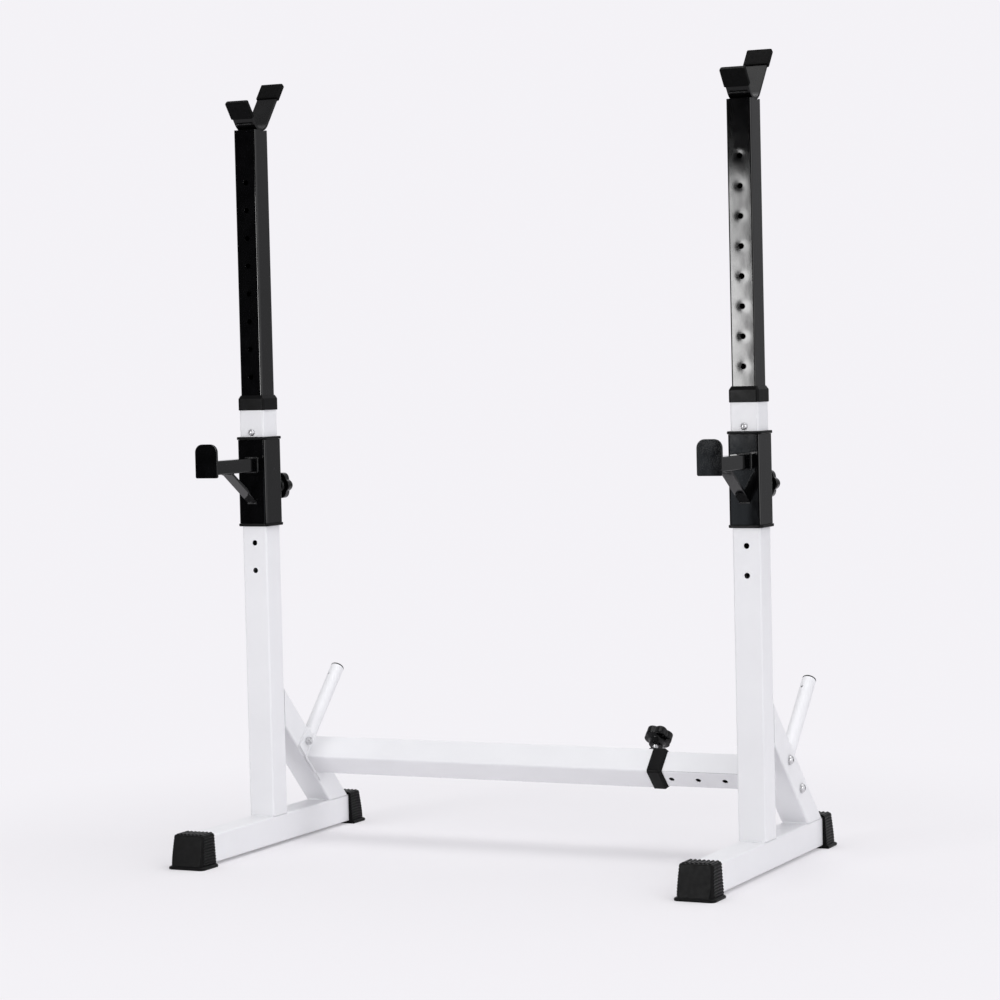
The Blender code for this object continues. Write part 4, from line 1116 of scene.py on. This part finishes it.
# Soft boxes in front, which the right post mirrors: name, height, size upwards, power and colour
BOX_X, BOX_Y, BOX_WIDTH = -1.41, -3.6, 1.08
SOFT_BOXES = (
    ("key", 0.93, 0.46, 33, (1, 1, 1)),
    ("key_top", 1.285, 0.25, 12.5, (1, 1, 1)),
    ("reflector", 0.41, 0.50, 1.4, (0.82, 0.9, 1.0)),
)

# Lamps overhead and at the right: name, place, target, size and power
LAMPS = (
    ("top", (0.4, 0.6, 3.6), (0, 0, 0.6), (3.6, 3.2), 70),
    ("right", (3.3, -2.9, 1.5), (0, 0, 0.8), (3.0, 2.4), 52),
)

# The photograph's camera
CAMERA_PLACE = (2.2315, -4.6274, 0.8676)
CAMERA_YAW = math.radians(25.697)
CAMERA_PITCH = math.radians(-2.664)
CAMERA_ROLL = math.radians(-1.341)
LENS = 105.8
SENSOR = 36
CLIP_END = 100


def stage_floor():
    """A pale disc that keeps the shadow and, where it is seen, fades into the background."""
    bm = bmesh.new()
    bmesh.ops.create_circle(bm, cap_ends=True, segments=FLOOR_SIDES, radius=FLOOR_RADIUS)
    floor = object_from("floor", bm)
    finish = Finish("floor")
    diffuse = finish.node("ShaderNodeBsdfDiffuse", {"Color": (*FLOOR_COLOUR, 1)})
    glow = finish.node("ShaderNodeEmission", {"Color": (*BACKGROUND, 1)})
    path = finish.node("ShaderNodeLightPath").outputs
    seen = finish.math("MAXIMUM", path["Is Camera Ray"], path["Is Glossy Ray"])
    seen = finish.math("MAXIMUM", seen, path["Is Transmission Ray"])
    distance = finish.node("ShaderNodeVectorMath", {0: finish.place}, operation="LENGTH")
    fade = finish.ramp(distance.outputs["Value"], *FLOOR_FADE, FLOOR_GLOW, 1.0, "SMOOTHSTEP")
    shaded = finish.mixed(finish.math("MULTIPLY", seen, fade), diffuse.outputs[0], glow.outputs[0])
    finish.link(shaded, finish.tree.nodes["Material Output"].inputs["Surface"])
    finish.tree.nodes.remove(finish.shader)
    floor.data.materials.append(finish.material)


def area_light(name, place, target, size, power, colour=(1, 1, 1)):
    light = bpy.data.lights.new(name, "AREA")
    light.shape = "RECTANGLE"
    light.size, light.size_y = size
    light.energy = power
    light.color = colour
    obj = new_object(name, light)
    obj.location = place
    obj.rotation_euler = (Vector(target) - Vector(place)).to_track_quat("-Z", "Y").to_euler()


def world_light():
    """A studio room, pale behind, overhead and right and dark in front.

    Camera rays see the background instead, mirrored rays only where it stands behind the rack.
    """
    world = bpy.data.worlds.new("studio")
    bpy.context.scene.world = world
    world.use_nodes = True
    sky = Nodes(world.node_tree)
    sky.tree.nodes.clear()

    def share(value, start, end, high=1.0):
        return sky.ramp(value, start, end, 0.0, high, "SMOOTHSTEP")

    def blended(factor, first, second):
        """first where the factor is 0, second where it is 1."""
        first = sky.math("MULTIPLY", sky.math("SUBTRACT", 1.0, factor), first)
        return sky.math("ADD", first, sky.math("MULTIPLY", factor, second))

    x, y, z = sky.parts(sky.node("ShaderNodeTexCoord").outputs["Generated"])
    across = sky.math("MULTIPLY", sky.math("ABSOLUTE", x), ROOM_BACK_ACROSS)
    slope = sky.math("ADD", across, sky.math("MULTIPLY", z, ROOM_BACK_UP))
    back = sky.math("ADD", slope, ROOM_BACK, clamp=True)
    horizon = blended(share(y, *FRONT_FROM_Y), back, ROOM_DARK)
    whole = blended(share(z, *TOP_FROM_Z), horizon, ROOM_TOP)
    strength = sky.math("ADD", whole, share(x, *RIGHT_FROM_X, high=ROOM_RIGHT))

    seen = sky.node("ShaderNodeBackground", {"Color": (*BACKGROUND, 1)})
    room = sky.node("ShaderNodeBackground", {"Color": (*ROOM_COLOUR, 1), "Strength": strength})
    path = sky.node("ShaderNodeLightPath").outputs
    mirrored = sky.math("MAXIMUM", path["Is Glossy Ray"], path["Is Transmission Ray"])
    backdrop = sky.math("MULTIPLY", share(y, *BACKDROP_FROM_Y), share(x, *BACKDROP_FROM_X))
    shown = sky.math("MAXIMUM", path["Is Camera Ray"], sky.math("MULTIPLY", mirrored, backdrop))
    surface = sky.mixed(shown, room.outputs[0], seen.outputs[0])
    sky.node("ShaderNodeOutputWorld", {"Surface": surface})


def studio_camera():
    """At the photograph's place: the image is square, so its width sets the focal length."""
    data = bpy.data.cameras.new("camera")
    data.sensor_width = SENSOR
    data.sensor_fit = "HORIZONTAL"
    data.lens = LENS
    data.clip_end = CLIP_END
    camera = new_object("camera", data)
    looking = turn(CAMERA_YAW, "Z") @ turn(QUARTER + CAMERA_PITCH, "X") @ turn(CAMERA_ROLL, "Z")
    camera.matrix_world = at(*CAMERA_PLACE) @ looking
    bpy.context.scene.camera = camera


stage_floor()
world_light()
for title, up, tall, watts, tint in SOFT_BOXES:
    area_light(title, (BOX_X, BOX_Y, up), (BOX_X, 0.0, up), (BOX_WIDTH, tall), watts, tint)
for lamp in LAMPS:
    area_light(*lamp)
studio_camera()
bpy.context.scene.view_settings.view_transform = "Standard"
